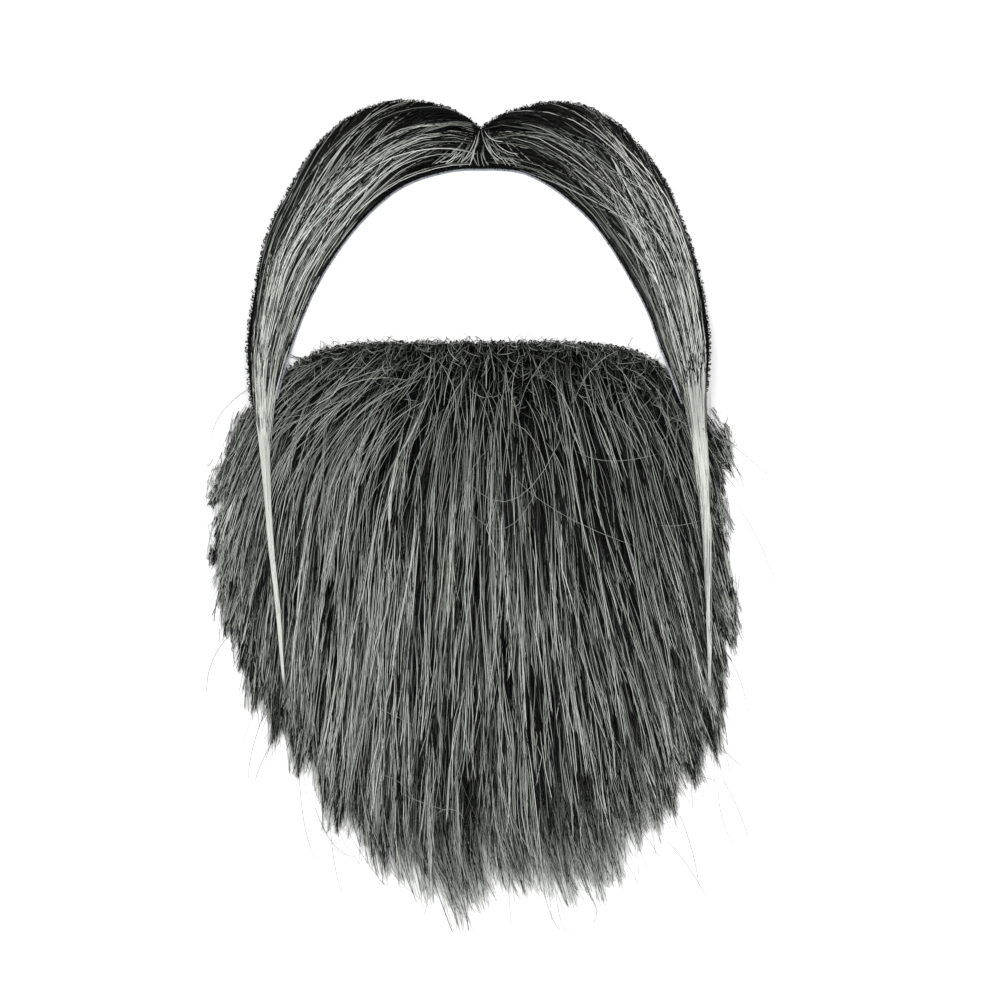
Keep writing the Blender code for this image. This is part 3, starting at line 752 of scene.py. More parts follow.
class Relief:
    """Underside and top of one of the frame's pieces over a grid, felt out with rays from both sides."""

    def __init__(self, name):
        low, high = [np.array(corner)[:2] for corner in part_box(name)]
        self.start = low - RELIEF_MARGIN
        shape = np.ceil((high + RELIEF_MARGIN - self.start) / RELIEF_STEP).astype(int) + 1
        self.top = np.zeros(shape)
        self.under = np.zeros(shape)
        surface = surface_tree(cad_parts[name])
        for i, j in np.ndindex(*shape):
            x, y = self.start + np.array((i, j)) * RELIEF_STEP
            above = surface.ray_cast(Vector((x, y, ABOVE_ALL)), Vector((0, 0, -1)))[0]
            if above:
                below = surface.ray_cast(Vector((x, y, -ABOVE_ALL)), Vector((0, 0, 1)))[0]
                self.top[i, j] = above.z
                self.under[i, j] = below.z if below else 0
        self.cover = (self.top > 0).astype(float)
        self.top = self.softened(self.top)

    def softened(self, values):
        """The same heights with their small steps rubbed out, inside the outline alone."""
        for _ in range(RELIEF_SOFTENING):
            spread = values * self.cover
            weight = self.cover
            for axis in (0, 1):
                spread = (np.roll(spread, 1, axis) + 2 * spread + np.roll(spread, -1, axis)) / 4
                weight = (np.roll(weight, 1, axis) + 2 * weight + np.roll(weight, -1, axis)) / 4
            values = np.where(self.cover > 0, spread / np.maximum(weight, 1e-6), 0)
        return values

    def read(self, grid, places):
        """Values of one of the grids at these places, between its four nearest points."""
        limit = np.array(grid.shape) - 1.001
        spot = np.clip((places[..., :2] - self.start) / RELIEF_STEP, 0, limit)
        corner = spot.astype(int)
        i, j = np.moveaxis(corner, -1, 0)
        u, v = np.moveaxis(spot - corner, -1, 0)
        near = grid[i, j] * (1 - u) + grid[i + 1, j] * u
        far = grid[i, j + 1] * (1 - u) + grid[i + 1, j + 1] * u
        return near * (1 - v) + far * v


@cache
def relief_of(name):
    """Relief of one of the frame's pieces, felt out once."""
    return Relief(name)


def surface_tree(obj):
    mesh = obj.data
    return BVHTree.FromPolygons(
        [vert.co for vert in mesh.vertices], [face.vertices[:] for face in mesh.polygons]
    )


Pattern = namedtuple("Pattern", "stop across up faces u v")


def strand_pattern(stops, pointed):
    """One straight strand that every other is bent from: its corners, faces and place on the map."""
    bm = bmesh.new()
    bmesh.ops.create_circle(bm, cap_ends=True, segments=STRAND_SIDES, radius=1)
    rim = bm.edges[:]
    for _ in range(stops - 1):
        made = bmesh.ops.extrude_edge_only(bm, edges=rim)["geom"]
        end = [part for part in made if isinstance(part, bmesh.types.BMVert)]
        bmesh.ops.translate(bm, vec=(0, 0, 1), verts=end)
        edges = [part for part in made if isinstance(part, bmesh.types.BMEdge)]
        rim = [edge for edge in edges if set(edge.verts) <= set(end)]
    if pointed:
        bmesh.ops.pointmerge(bm, verts=end, merge_co=(0, 0, stops - 1))
    else:
        bmesh.ops.contextual_create(bm, geom=rim)
    bmesh.ops.recalc_face_normals(bm, faces=bm.faces)
    bmesh.ops.triangulate(bm, faces=bm.faces)
    bm.verts.index_update()
    corners = np.array([vert.co for vert in bm.verts])
    faces = np.array([[vert.index for vert in face.verts] for face in bm.faces])
    bm.free()
    turn = np.arctan2(corners[:, 1], corners[:, 0])
    number = np.round(turn / (2 * math.pi / STRAND_SIDES)).astype(int) % STRAND_SIDES - 1
    on_axis = np.hypot(corners[:, 0], corners[:, 1]) < 0.5
    number[on_axis] = 0
    stop = np.round(corners[:, 2]).astype(int)
    v = (stop + CORNER_STAGGER * (number == 0)) / (stops - 1 + 2 * CORNER_STAGGER)
    quarter = corners[:, :2] @ np.array(((0, 1), (-1, 0)))
    return Pattern(stop, quarter[:, 0], quarter[:, 1], faces, number * TONE_STEP, v)


def unit(vectors):
    """These vectors, each made one long."""
    return vectors / (np.linalg.norm(vectors, axis=-1, keepdims=True) + TINY)


def hair_object(name, node, paths, radii, tones, finish, pointed=True, place=None):
    """Joined mesh of one strand for each path, which is given as strands x stops x 3. The place of
    each stop on the map runs from 0 to 1 down the strand unless it is given."""
    count, stops, _ = paths.shape
    pattern = strand_pattern(stops, pointed)
    along = unit(np.gradient(paths, axis=1))
    side = unit(np.cross(along, np.array((0.0, 0.0, 1.0))))
    rise = np.cross(side, along)
    off_axis = pattern.across[:, None] * side[:, pattern.stop] + pattern.up[:, None] * rise[:, pattern.stop]
    corners = paths[:, pattern.stop] + radii[:, pattern.stop, None] * off_axis
    faces = pattern.faces[None] + len(pattern.stop) * np.arange(count)[:, None, None]
    tones = np.clip(tones, MAP_RANGE[0] + TONE_STEP, MAP_RANGE[1] - TONE_STEP)
    loops = pattern.faces.ravel()
    down = pattern.v[loops]
    if place is not None:
        down = place[:, pattern.stop[loops]] + down * MAP_SLANT
    uv = np.empty((count, len(loops), 2))
    uv[..., 0] = tones[:, None] + pattern.u[loops]
    uv[..., 1] = MAP_RANGE[0] + (MAP_RANGE[1] - MAP_RANGE[0]) * down
    mesh = bpy.data.meshes.new(name)
    mesh.vertices.add(count * len(pattern.stop))
    mesh.vertices.foreach_set("co", corners.astype(np.float32).ravel())
    mesh.loops.add(faces.size)
    mesh.loops.foreach_set("vertex_index", faces.astype(np.int32).ravel())
    mesh.polygons.add(faces.size // 3)
    mesh.polygons.foreach_set("loop_start", np.arange(0, faces.size, 3, dtype=np.int32))
    mesh.update(calc_edges=True)
    mesh.uv_layers.new(name=UV_NAME).uv.foreach_set("vector", uv.astype(np.float32).ravel())
    mesh.shade_smooth()
    return new_piece(name, node, mesh, finish)


def new_piece(name, node, mesh, finish):
    """Object of this mesh, which rides with the beard and stands for a soft node of the frame."""
    obj = bpy.data.objects.new(name, mesh)
    bpy.context.scene.collection.objects.link(obj)
    mesh.materials.append(finish)
    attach(obj, BODY)
    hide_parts(node)
    return obj


def fan_share(places):
    """How much the hair fans out: fully under the top rim, and no more where it has settled."""
    return ease((places[..., 1] - FAN_END_Y) / (FAN_TOP_Y - FAN_END_Y))


def fall_of_pile(places, sweep_share=1.0):
    """Angle of the beard's hair from straight down, positive to the right. It fans out under the top
    rim, by this share of the full sweep on the left, settles on the way down, flares along the left
    side, and the fringe is swept to the right."""
    x = places[..., 0]
    y = places[..., 1]
    fan = fan_share(places)
    bow = ease((FAN_LEFT_START_X - x) / FAN_LEFT_RISE) * ease((x - FAN_LEFT_END_X) / FAN_LEFT_FADE)
    left = np.clip(-x / SPREAD_REACH, 0, 1)
    right = np.clip(x / SPREAD_REACH, 0, 1)
    side = ease((SIDE_FLARE_X - x) / SIDE_FLARE_WIDTH)
    side = side * ease((y - SIDE_FLARE_END_Y) / (SIDE_FLARE_TOP_Y - SIDE_FLARE_END_Y))
    sweep = ease((SWEEP_TOP_Y - y) / SWEEP_DEPTH)
    settled = -FAN_LEFT * sweep_share * fan * bow - LEFT_REST * left - SIDE_FLARE * side
    spread = right * (RIGHT_REST + FAN_RIGHT * fan)
    swept = SWEEP * sweep * (1 - SWEEP_LOST_AT_RIGHT * right)
    return CENTRE_REST + settled * (1 - sweep) + spread + swept


def heading(angle):
    """Ways that point down the beard, turned to the right by these angles."""
    return np.stack((np.sin(angle), -np.cos(angle)), axis=-1)


Wave = namedtuple("Wave", "turn start pace")


def drawn_waves(rng, count, turn, pace):
    """Slow waves of the guides, drawn from these ranges: their turn in degrees, and their pace."""
    turns = np.radians(rng.uniform(*turn, count))
    starts = rng.uniform(0, ANY_PHASE, count)
    return Wave(turns, starts, rng.uniform(*pace, count))


def follow_fall(roots, swerve, wave, length, sweep_share=1.0):
    """Guides traced down the fall of the hair from these roots, as guides x stops x 2."""
    stride = length[:, None] / GUIDE_STEPS
    stops = [roots]
    for k in range(GUIDE_STEPS):
        t = k / GUIDE_STEPS
        angle = fall_of_pile(stops[-1], sweep_share) + swerve * (1 - t) ** 2
        angle = angle + wave.turn * np.sin(wave.start + wave.pace * t)
        stops.append(stops[-1] + stride * heading(angle))
    return np.stack(stops, axis=1)


def stop_shares(stops):
    """Even shares of a strand with the last one short, so that it keeps its width almost to its tip."""
    return np.append(np.linspace(0, 1 - TIP_SHARE, stops - 1), 1)


def travelled(paths):
    """Distance from the root to each stop of each path."""
    runs = np.linalg.norm(np.diff(paths, axis=1), axis=2)
    return np.concatenate((np.zeros((len(paths), 1)), np.cumsum(runs, axis=1)), axis=1)


def resampled(paths, goals):
    """Places on each path at these distances from its root."""
    lengths = travelled(paths)
    result = np.empty((len(paths), goals.shape[1], paths.shape[2]))
    for k, axis in np.ndindex(len(paths), paths.shape[2]):
        result[k, :, axis] = np.interp(goals[k], lengths[k], paths[k, :, axis])
    return result


def trimmed(paths, relief, overhang, stops):
    """The same paths cut off this far past the outline, with a given number of stops."""
    lengths = travelled(paths)
    outside = (relief.read(relief.cover, paths) < 0.5) & (lengths > SHORTEST_CUT)
    leaves = outside.any(axis=1)
    first = np.where(leaves, outside.argmax(axis=1), paths.shape[1] - 1)
    end = lengths[np.arange(len(paths)), first]
    end = np.minimum(end + np.where(leaves, overhang, 0), lengths[:, -1])
    return resampled(paths, end[:, None] * stop_shares(stops))


def scattered(rng, relief, count, hem):
    """Roots spread evenly over the part of the outline above the hem."""
    area = relief.cover.sum() * RELIEF_STEP ** 2
    pitch = math.sqrt(area / count)
    span = np.array(relief.cover.shape) * RELIEF_STEP
    grid = np.stack(np.meshgrid(np.arange(0, span[0], pitch), np.arange(0, span[1], pitch)), axis=-1)
    places = grid.reshape(-1, 2) + relief.start + rng.uniform(-0.5, 0.5, (grid.size // 2, 2)) * pitch
    inside = relief.read(relief.cover, places) > 0.5
    return places[inside & (places[:, 1] > hem)]


def bundled(rng, guides, per_wisp, width, closing, wander):
    """Strands of each wisp: side by side at the root, drawn together towards its tip."""
    count, stops, _ = guides.shape
    t = np.linspace(0, 1, stops)
    along = unit(np.gradient(guides, axis=1))
    normal = np.stack((-along[..., 1], along[..., 0]), axis=-1)
    offset = rng.uniform(-0.5, 0.5, (count, per_wisp)) * width[:, None]
    share = 1 - closing[:, None, None] * t**CLOSING_POWER
    phase = rng.uniform(0, 2 * math.pi, (count, per_wisp, 1))
    pace = rng.uniform(*WANDER_PACE, (count, per_wisp, 1))
    ripple = wander * rng.uniform(0.1, 1, (count, per_wisp, 1)) * np.sin(phase + pace * t)
    shift = offset[..., None] * share + ripple * np.sqrt(t)
    strands = guides[:, None] + normal[:, None] * shift[..., None]
    return strands.reshape(count * per_wisp, stops, 2)


def laid_up(paths, relief, level, root_z, rise, low_z, swing=0.0):
    """Heights of the strands: up from the knit at the root, then along their own level in the pile,
    where they dip in and out by the swing."""
    top = np.maximum(relief.read(relief.top, paths), low_z)
    climb = 1 - (1 - np.clip(travelled(paths) / rise[:, None], 0, 1)) ** 2
    phase = level[:, None] * PHASE_SPREAD + np.linspace(0, SWING_PACE, paths.shape[1])
    z = root_z + (top - root_z) * (level[:, None] + swing * np.sin(phase)) * climb
    for _ in range(2):
        inner = (z[:, :-2] + 2 * z[:, 1:-1] + z[:, 2:]) / 4
        z = np.concatenate((z[:, :1], inner, z[:, -1:]), axis=1)
    return np.concatenate((paths, np.maximum(z, low_z)[..., None]), axis=2)


def taper(radius, stops):
    """Radii of strands that thicken a little past the root and thin out to the tip."""
    t = np.linspace(0, 1, stops)
    thinned = (1 - STRAND_TIP) * np.clip((t - THINNING_START) / (1 - THINNING_START), 0, 1)
    return radius[:, None] * np.minimum(STRAND_ROOT + t, 1) * (1 - thinned)


def strand_tones(rng, count, middle, spread, black, pale):
    """Tones of single fibres: most lie round a grey, some are black and some nearly white."""
    tones = middle + spread * rng.standard_normal(count)
    draw = rng.uniform(0, 1, count)
    tones = np.where(draw < black, rng.uniform(*BLACK_TONES, count), tones)
    return np.where(draw > 1 - pale, rng.uniform(*WHITE_TONES, count), tones)


def shaded_by_depth(tones, level):
    """Painted shade: fibres that lie deep in the pile are darkened by their depth, so that only those on
    top keep their paleness.
    """
    return tones * (1 - DEPTH_SHADE_DARKNESS * ease((1 - level) / DEPTH_SHADE_REACH))


class BeardSettings(bpy.types.PropertyGroup):
    wisps: bpy.props.IntProperty(
        name="Wisps", description="Bundles of strands over the whole beard", default=4500, min=1
    )
    strands: bpy.props.IntProperty(
        name="Strands a wisp", description="Strands in each bundle", default=5, min=1
    )
    stops: bpy.props.IntProperty(
        name="Stops", description="Points along each strand", default=7, min=3
    )
    shortest: bpy.props.FloatProperty(
        name="Shortest hair", description="Least length of the pile",
        default=34 * MM, unit="LENGTH", subtype="DISTANCE",
    )
    longest: bpy.props.FloatProperty(
        name="Longest hair", description="Greatest length of the pile",
        default=92 * MM, unit="LENGTH", subtype="DISTANCE",
    )
    radius: bpy.props.FloatProperty(
        name="Strand radius", description="Drawn coarser than a real fibre, so that it shows",
        default=0.125 * MM, unit="LENGTH", subtype="DISTANCE", precision=5,
    )
    lock_strands: bpy.props.IntProperty(
        name="Strands a lock", description="Strands that end in each lock of the ragged edge",
        default=44, min=1,
    )
    top_hairs: bpy.props.IntProperty(
        name="Top hairs", description="Pale single hairs that lie across the pile", default=700, min=0
    )
    curls: bpy.props.IntProperty(
        name="Curls", description="Short loose hairs along the top rim", default=2200, min=0
    )
    flyaways: bpy.props.IntProperty(
        name="Flyaways", description="Single hairs that stand off the outline", default=780, min=0
    )


class MoustacheSettings(bpy.types.PropertyGroup):
    wisps: bpy.props.IntProperty(
        name="Wisps a side", description="Bundles of strands on each half", default=330, min=1
    )
    strands: bpy.props.IntProperty(
        name="Strands a wisp", description="Strands in each bundle", default=4, min=1
    )
    stops: bpy.props.IntProperty(
        name="Stops", description="Points along each strand", default=14, min=3
    )
    radius: bpy.props.FloatProperty(
        name="Strand radius", description="Drawn coarser than a real fibre, so that it shows",
        default=0.13 * MM, unit="LENGTH", subtype="DISTANCE", precision=5,
    )


class KnitSettings(bpy.types.PropertyGroup):
    thickness: bpy.props.FloatProperty(
        name="Knit thickness", description="Thickness of both knit panels",
        default=1.1 * MM, unit="LENGTH", subtype="DISTANCE", precision=5,
    )
    loop_rows: bpy.props.IntProperty(
        name="Loop rows", description="Rows of open loops along the cut edges", default=2, min=0
    )
    loop_height: bpy.props.FloatProperty(
        name="Loop height", description="How far one loop stands out",
        default=1.1 * MM, unit="LENGTH", subtype="DISTANCE", precision=5,
    )


class StageSettings(bpy.types.PropertyGroup):
    floor: bpy.props.FloatProperty(
        name="Floor", description="Width of the floor", default=3.0, unit="LENGTH", subtype="DISTANCE"
    )
    light: bpy.props.FloatProperty(
        name="Light", description="Power of the soft lamps together", default=18.3, unit="POWER"
    )
    sky: bpy.props.FloatProperty(
        name="Sky", description="Strength of the even light from all round", default=0.5
    )


def rim_point(side, drop=0.0):
    """Place on the beard's top rim; side runs from -1 at its left corner to 1 at its right one."""
    middle = (RIM_LEFT_X + RIM_RIGHT_X) / 2
    end_x = np.where(side > 0, RIM_RIGHT_X, RIM_LEFT_X)
    end_y = np.where(side > 0, RIM_RIGHT_Y, RIM_LEFT_Y)
    x = middle + (end_x - middle) * np.abs(side)
    y = RIM_MIDDLE_Y + (end_y - RIM_MIDDLE_Y) * np.abs(side) ** RIM_ROUNDNESS
    return np.stack((x, y - drop), axis=-1)


def smooth_leg(rows):
    """Outer and inner edge of a leg, evenly spaced along its middle, in metres."""
    points = np.array(rows) * MM
    ends = np.concatenate((points[:1], points, points[-1:]))
    stops = []
    for a, b, c, d in zip(ends, ends[1:], ends[2:], ends[3:]):
        for t in np.arange(LEG_FINENESS) / LEG_FINENESS:
            stops.append(
                b * (2 * t**3 - 3 * t**2 + 1)
                + (c - a) / 2 * (t**3 - 2 * t**2 + t)
                + c * (3 * t**2 - 2 * t**3)
                + (d - b) / 2 * (t**3 - t**2)
            )
    stops.append(points[-1])
    return np.array(stops)


class Leg:
    """One half of the moustache, read by the distance down its middle and the share across it."""

    def __init__(self, rows, end=()):
        self.edges = smooth_leg(rows + end)
        middle = (self.edges[:, :2] + self.edges[:, 2:]) / 2
        last = (np.array(rows[-1][:2]) + rows[-1][2:]) / 2 * MM
        self.reach = travelled(middle[None])[0]
        self.held = self.reach[np.argmin(np.linalg.norm(middle - last, axis=1))]
        self.whole = self.reach[-1]
        steps = np.diff(self.reach, prepend=0.0)
        self.pace = np.cumsum(steps * np.where(self.reach < self.held, 1.0, END_PACE))

    def between(self, root, end, count):
        """Distances down the leg from each root to its end, closest at the root and on the arch."""
        first = np.interp(root, self.reach, self.pace)[:, None]
        last = np.interp(end, self.reach, self.pace)[:, None]
        shares = stop_shares(count) ** ROOT_CROWDING
        return np.interp(first + (last - first) * shares, self.pace, self.reach)

    def place(self, along, across):
        """Places this far down the leg, at this share across it from its outer edge."""
        columns = [np.interp(along, self.reach, self.edges[:, k]) for k in range(4)]
        x = columns[0] + (columns[2] - columns[0]) * across
        y = columns[1] + (columns[3] - columns[1]) * across
        return np.stack((x, y), axis=-1)


class BEARD_OT_knit_panels(bpy.types.Operator):
    """Knit panels that the hair is tufted into, under the beard and under the moustache"""

    bl_idname = "beard.knit_panels"
    bl_label = "Knit panels"

    def execute(self, context):
        knit = knit_material()
        beard_panel(context.scene.knit.thickness, knit)
        moustache_panel(context.scene.knit.thickness, knit)
        return {"FINISHED"}


def panel_mesh(name, columns, rows, place, thickness):
    """Sheet laid over a grid of places, with this thickness under it."""
    bm = bmesh.new()
    bmesh.ops.create_grid(bm, x_segments=columns, y_segments=rows, size=1)
    for vert in bm.verts:
        vert.co = place(vert.co.x, vert.co.y)
    bmesh.ops.recalc_face_normals(bm, faces=bm.faces)
    if sum(face.normal.z for face in bm.faces) < 0:
        bmesh.ops.reverse_faces(bm, faces=bm.faces)
    bmesh.ops.solidify(bm, geom=bm.faces[:], thickness=thickness)
    bmesh.ops.recalc_face_normals(bm, faces=bm.faces)
    mesh = bpy.data.meshes.new(name)
    bm.to_mesh(mesh)
    bm.free()
    mesh.shade_smooth()
    mesh.set_sharp_from_angle(angle=PANEL_SHARP_ANGLE)
    return mesh


def sheet_area(mesh):
    """Area of one face of a thin closed sheet."""
    return sum(face.area for face in mesh.polygons) / 2


def beard_panel(thickness, finish):
    """Panel from the beard's top rim down to its rounded hem, with wales along it."""

    def place(side, along):
        """Place at this side, and along from -1 at the hem to 1 at the top rim."""
        top = rim_point(np.float64(side), PANEL_INSET)
        hem_end = (RIM_RIGHT_Y if side > 0 else RIM_LEFT_Y) - HEM_END_DROP
        hem_y = PANEL_HEM_Y + (hem_end - PANEL_HEM_Y) * abs(side) ** PANEL_HEM_ROUNDNESS
        x = top[0] * (1 - PANEL_SIDE_INSET)
        y = top[1] + (hem_y - top[1]) * (1 - along) / 2
        wale = WALE_HEIGHT * math.cos(2 * math.pi * x / WALE_WIDTH)
        return (x, y, thickness + PANEL_CLEARANCE + wale)

    mesh = panel_mesh("beard_knit", PANEL_COLUMNS, PANEL_ROWS, place, thickness)
    panel = new_piece("beard_knit", "beard_backing", mesh, finish)
    sheet_area(mesh)


def moustache_panel(thickness, finish):
    """Crescent of knit from leg to leg, over the adhesive strip."""
    left = Leg(LEFT_LEG)
    right = Leg(RIGHT_LEG)
    relief = relief_of("moustache_backing")

    def place(side, across):
        """Place at this share down a leg, left where it is negative, and across it from -1 to 1."""
        leg = right if side > 0 else left
        along = abs(side) * leg.whole
        share = BAND_OUTER_INSET + (1 - BAND_OUTER_INSET) * (1 - across) / 2
        return (*leg.place(along, share), relief.read(relief.top, leg.place(along, 0.5)))

    mesh = panel_mesh("moustache_knit", BAND_COLUMNS, BAND_ROWS, place, thickness)
    band = new_piece("moustache_knit", "moustache_backing", mesh, finish)
    sheet_area(mesh)


class BEARD_OT_edge_loops(bpy.types.Operator):
    """Open loops along the cut edges of both knit panels"""

    bl_idname = "beard.edge_loops"
    bl_label = "Edge loops"

    def execute(self, context):
        settings = context.scene.knit
        yarn = yarn_material()
        rng = np.random.default_rng(5)
        rim = loop_anchors(rim_point(np.linspace(-RIM_SPAN, RIM_SPAN, RIM_SAMPLES), RIM_LOOP_DROP))
        heights = np.full(len(rim[0]), RIM_LOOP_HEIGHT)
        edge_loops("beard_knit_loops", "beard_backing", rng, rim, heights, settings, yarn)
        relief = relief_of("moustache_backing")
        for side, rows in (("left", LEFT_LEG), ("right", RIGHT_LEG)):
            leg = Leg(rows)
            run = np.linspace(*LEG_LOOP_SPAN, LEG_SAMPLES) * leg.whole
            edge = leg.place(run, BAND_OUTER_INSET)
            centre = leg.place(run, 0.5)
            anchors = loop_anchors(edge, centre)
            z = relief.read(relief.top, centre) - settings.thickness / 2
            upward = np.argsort(edge[:, 1])
            heights = np.interp(anchors[0][:, 1], edge[upward, 1], z[upward])
            name = f"moustache_knit_loops_{side}"
            edge_loops(name, "moustache_backing", rng, anchors, heights, settings, yarn)
        return {"FINISHED"}


def loop_anchors(edge, centre=None):
    """Places a stitch apart along an edge, and the way out from the panel at each."""
    reach = travelled(edge[None])[0]
    goals = np.linspace(0, reach[-1], int(reach[-1] / STITCH_HEIGHT))
    places = np.stack([np.interp(goals, reach, edge[:, k]) for k in range(2)], axis=1)
    along = unit(np.gradient(places, axis=0))
    outward = np.stack((-along[:, 1], along[:, 0]), axis=1)
    if centre is not None:
        middles = np.stack([np.interp(goals, reach, centre[:, k]) for k in range(2)], axis=1)
        flip = np.sign(((places - middles) * outward).sum(axis=1))
        outward = outward * flip[:, None]
    return places, outward


def edge_loops(name, node, rng, anchors, heights, settings, finish):
    """Rows of cut stitches: loops and hooks of yarn that lean any way, with some of them missing."""
    paths = []
    for row in range(settings.loop_rows):
        kept = rng.uniform(0, 1, len(heights)) < LOOP_SHARE
        places, outward = (values[kept] for values in anchors)
        count = len(places)
        along = np.stack((outward[:, 1], -outward[:, 0]), axis=1)
        sweep = rng.uniform(*LOOP_SWEEP, count)
        start = rng.uniform(*LOOP_START, count)
        turn = np.radians(start[:, None] - sweep[:, None] * np.linspace(0, 1, LOOP_STOPS))
        reach = settings.loop_height * rng.uniform(*LOOP_REACH, count)[:, None]
        width = STITCH_WIDTH * rng.uniform(*LOOP_WIDTH, count)[:, None]
        lean = rng.uniform(-LOOP_LEAN, LOOP_LEAN, count)[:, None]
        shift = STITCH_HEIGHT / 2 * (row % 2) + rng.uniform(-LOOP_JITTER, LOOP_JITTER, count)[:, None]
        out = reach * (1 + np.sin(turn)) / 2
        across = width * np.cos(turn) + lean * out + shift
        out = out - LOOP_BACK - LOOP_ROW_BACK * row
        flat = places[:, None] + along[:, None] * across[..., None] + outward[:, None] * out[..., None]
        z = heights[kept, None] + LOOP_TWIST * np.sin(turn * 2)
        z = z + rng.uniform(-LOOP_JITTER, LOOP_JITTER, (count, 1)) + LOOP_ROW_LIFT * row
        z = np.maximum(z, LOOP_CLEARANCE)
        paths.append(np.concatenate((flat, z[..., None]), axis=2))
    paths = np.concatenate(paths)
    radii = np.full(paths.shape[:2], YARN_RADIUS)
    hair_object(name, node, paths, radii, rng.uniform(0.1, 0.9, len(paths)), finish, pointed=False)


class BEARD_OT_adhesive_strip(bpy.types.Operator):
    """Adhesive strip under the moustache; its lip shows along the inner edge"""

    bl_idname = "beard.adhesive_strip"
    bl_label = "Adhesive strip"

    def execute(self, context):
        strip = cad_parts["moustache_tape"]
        strip.data.materials.clear()
        strip.data.materials.append(tape_material())
        return {"FINISHED"}


class BEARD_OT_beard_pile(bpy.types.Operator):
    """Long pile of the beard in three tiers, laid over each other from the fringe up"""

    bl_idname = "beard.beard_pile"
    bl_label = "Beard pile"

    def execute(self, context):
        settings = context.scene.beard
        rng = np.random.default_rng(21)
        relief = relief_of("beard_fur")
        finish = pile_material()
        roots = scattered(rng, relief, settings.wisps, PANEL_HEM_Y)
        roots = roots[np.argsort(roots[:, 1])]
        for name, tier in zip(TIER_NAMES, np.array_split(roots, len(TIER_NAMES))):
            pile_tier(name, rng, tier, relief, settings, finish)
        return {"FINISHED"}


def pile_tier(name, rng, roots, relief, settings, finish):
    """Wisps of the pile from these roots. The bright ones are thin and lie on top, and some of them
    are swept out to the left across the rest."""
    count = len(roots)
    fan = fan_share(roots)
    swerve = np.radians(rng.normal(0, 1, count) * PILE_SWERVE * (1 + fan))
    wave = drawn_waves(rng, count, PILE_WAVE_TURN, PILE_WAVE_PACE)
    length = rng.uniform(settings.shortest, settings.longest, count)
    bright = rng.uniform(0, 1, count) < BRIGHT_SHARE
    swept = bright & (rng.uniform(0, 1, count) < SWEPT_SHARE)
    sweep_share = np.where(swept, FULL_SWEEP, rng.uniform(*PLAIN_SWEEP, count))
    guides = follow_fall(roots, swerve, wave, length, sweep_share)
    width = rng.uniform(*WISP_WIDTH, count) * np.where(bright & ~swept, BRIGHT_WIDTH_SHARE, 1) * MM
    closing = rng.uniform(*WISP_CLOSING, count) + BRIGHT_CLOSING * bright
    paths = bundled(rng, guides, settings.strands, width, closing, PILE_WANDER)
    total = len(paths)
    paths = trimmed(paths, relief, rng.exponential(PILE_OVERHANG, total) * MM, settings.stops)
    own = travelled(paths)[:, -1:] * rng.uniform(*STRAND_LENGTH_SHARE, total)[:, None]
    paths = resampled(paths, own * stop_shares(settings.stops))
    wisp_level = rng.uniform(*WISP_LEVEL, count)
    wisp_level = np.where(bright, BRIGHT_LEVEL + BRIGHT_LEVEL_SHARE * wisp_level, wisp_level)
    level = np.repeat(wisp_level, settings.strands) + rng.uniform(*STRAND_LEVEL, total)
    level = np.clip(level, *PILE_LEVELS)
    rise = PILE_RISE + PILE_RISE_BY_LEVEL * level
    paths = laid_up(paths, relief, level, PILE_ROOT_Z, rise, LOWEST_HAIR, PILE_SWING)
    radii = taper(settings.radius * rng.uniform(*PILE_THICKNESS, total), settings.stops)
    # Painted shade: darker wisp tones towards the right side, most of all under the top rim
    darker = RIGHT_SIDE_SHADE * (1 + fan) * ease((roots[:, 0] - RIGHT_SIDE_SHADE_START_X) / SPREAD_REACH)
    wisp_tone = np.where(bright, rng.normal(*BRIGHT_TONE, count), rng.normal(*PLAIN_TONE, count)) - darker
    black = np.repeat(np.where(bright, BRIGHT_BLACK_SHARE, PLAIN_BLACK_SHARE), settings.strands)
    middle = np.repeat(wisp_tone, settings.strands)
    tones = strand_tones(rng, total, middle, PILE_TONE_SPREAD, black, ODD_TONE_SHARE - black)
    # Painted shade darkens the fibres that lie deep in the pile
    hair_object(name, "beard_fur", paths, radii, shaded_by_depth(tones, level), finish)


class BEARD_OT_edge_locks(bpy.types.Operator):
    """Locks that end the pile in points, all round the ragged edge"""

    bl_idname = "beard.edge_locks"
    bl_label = "Edge locks"

    def execute(self, context):
        settings = context.scene.beard
        rng = np.random.default_rng(27)
        strands = [lock_strands(rng, lock, settings.lock_strands, settings.stops) for lock in LOCKS]
        paths = np.concatenate(strands)
        total = len(paths)
        level = 1 - LOCK_DEPTH * rng.uniform(0, 1, total)
        rise = np.full(total, LOCK_RISE)
        paths = laid_up(paths, relief_of("beard_fur"), level, LOCK_ROOT_Z, rise, LOWEST_HAIR)
        radii = taper(settings.radius * rng.uniform(*LOCK_THICKNESS, total), settings.stops)
        middle = np.repeat(rng.normal(*LOCK_TONE, len(LOCKS)), settings.lock_strands)
        tones = strand_tones(rng, total, middle, *LOCK_TONE_SHARES)
        hair_object("beard_edge_locks", "beard_fur", paths, radii, tones, lock_material())
        return {"FINISHED"}


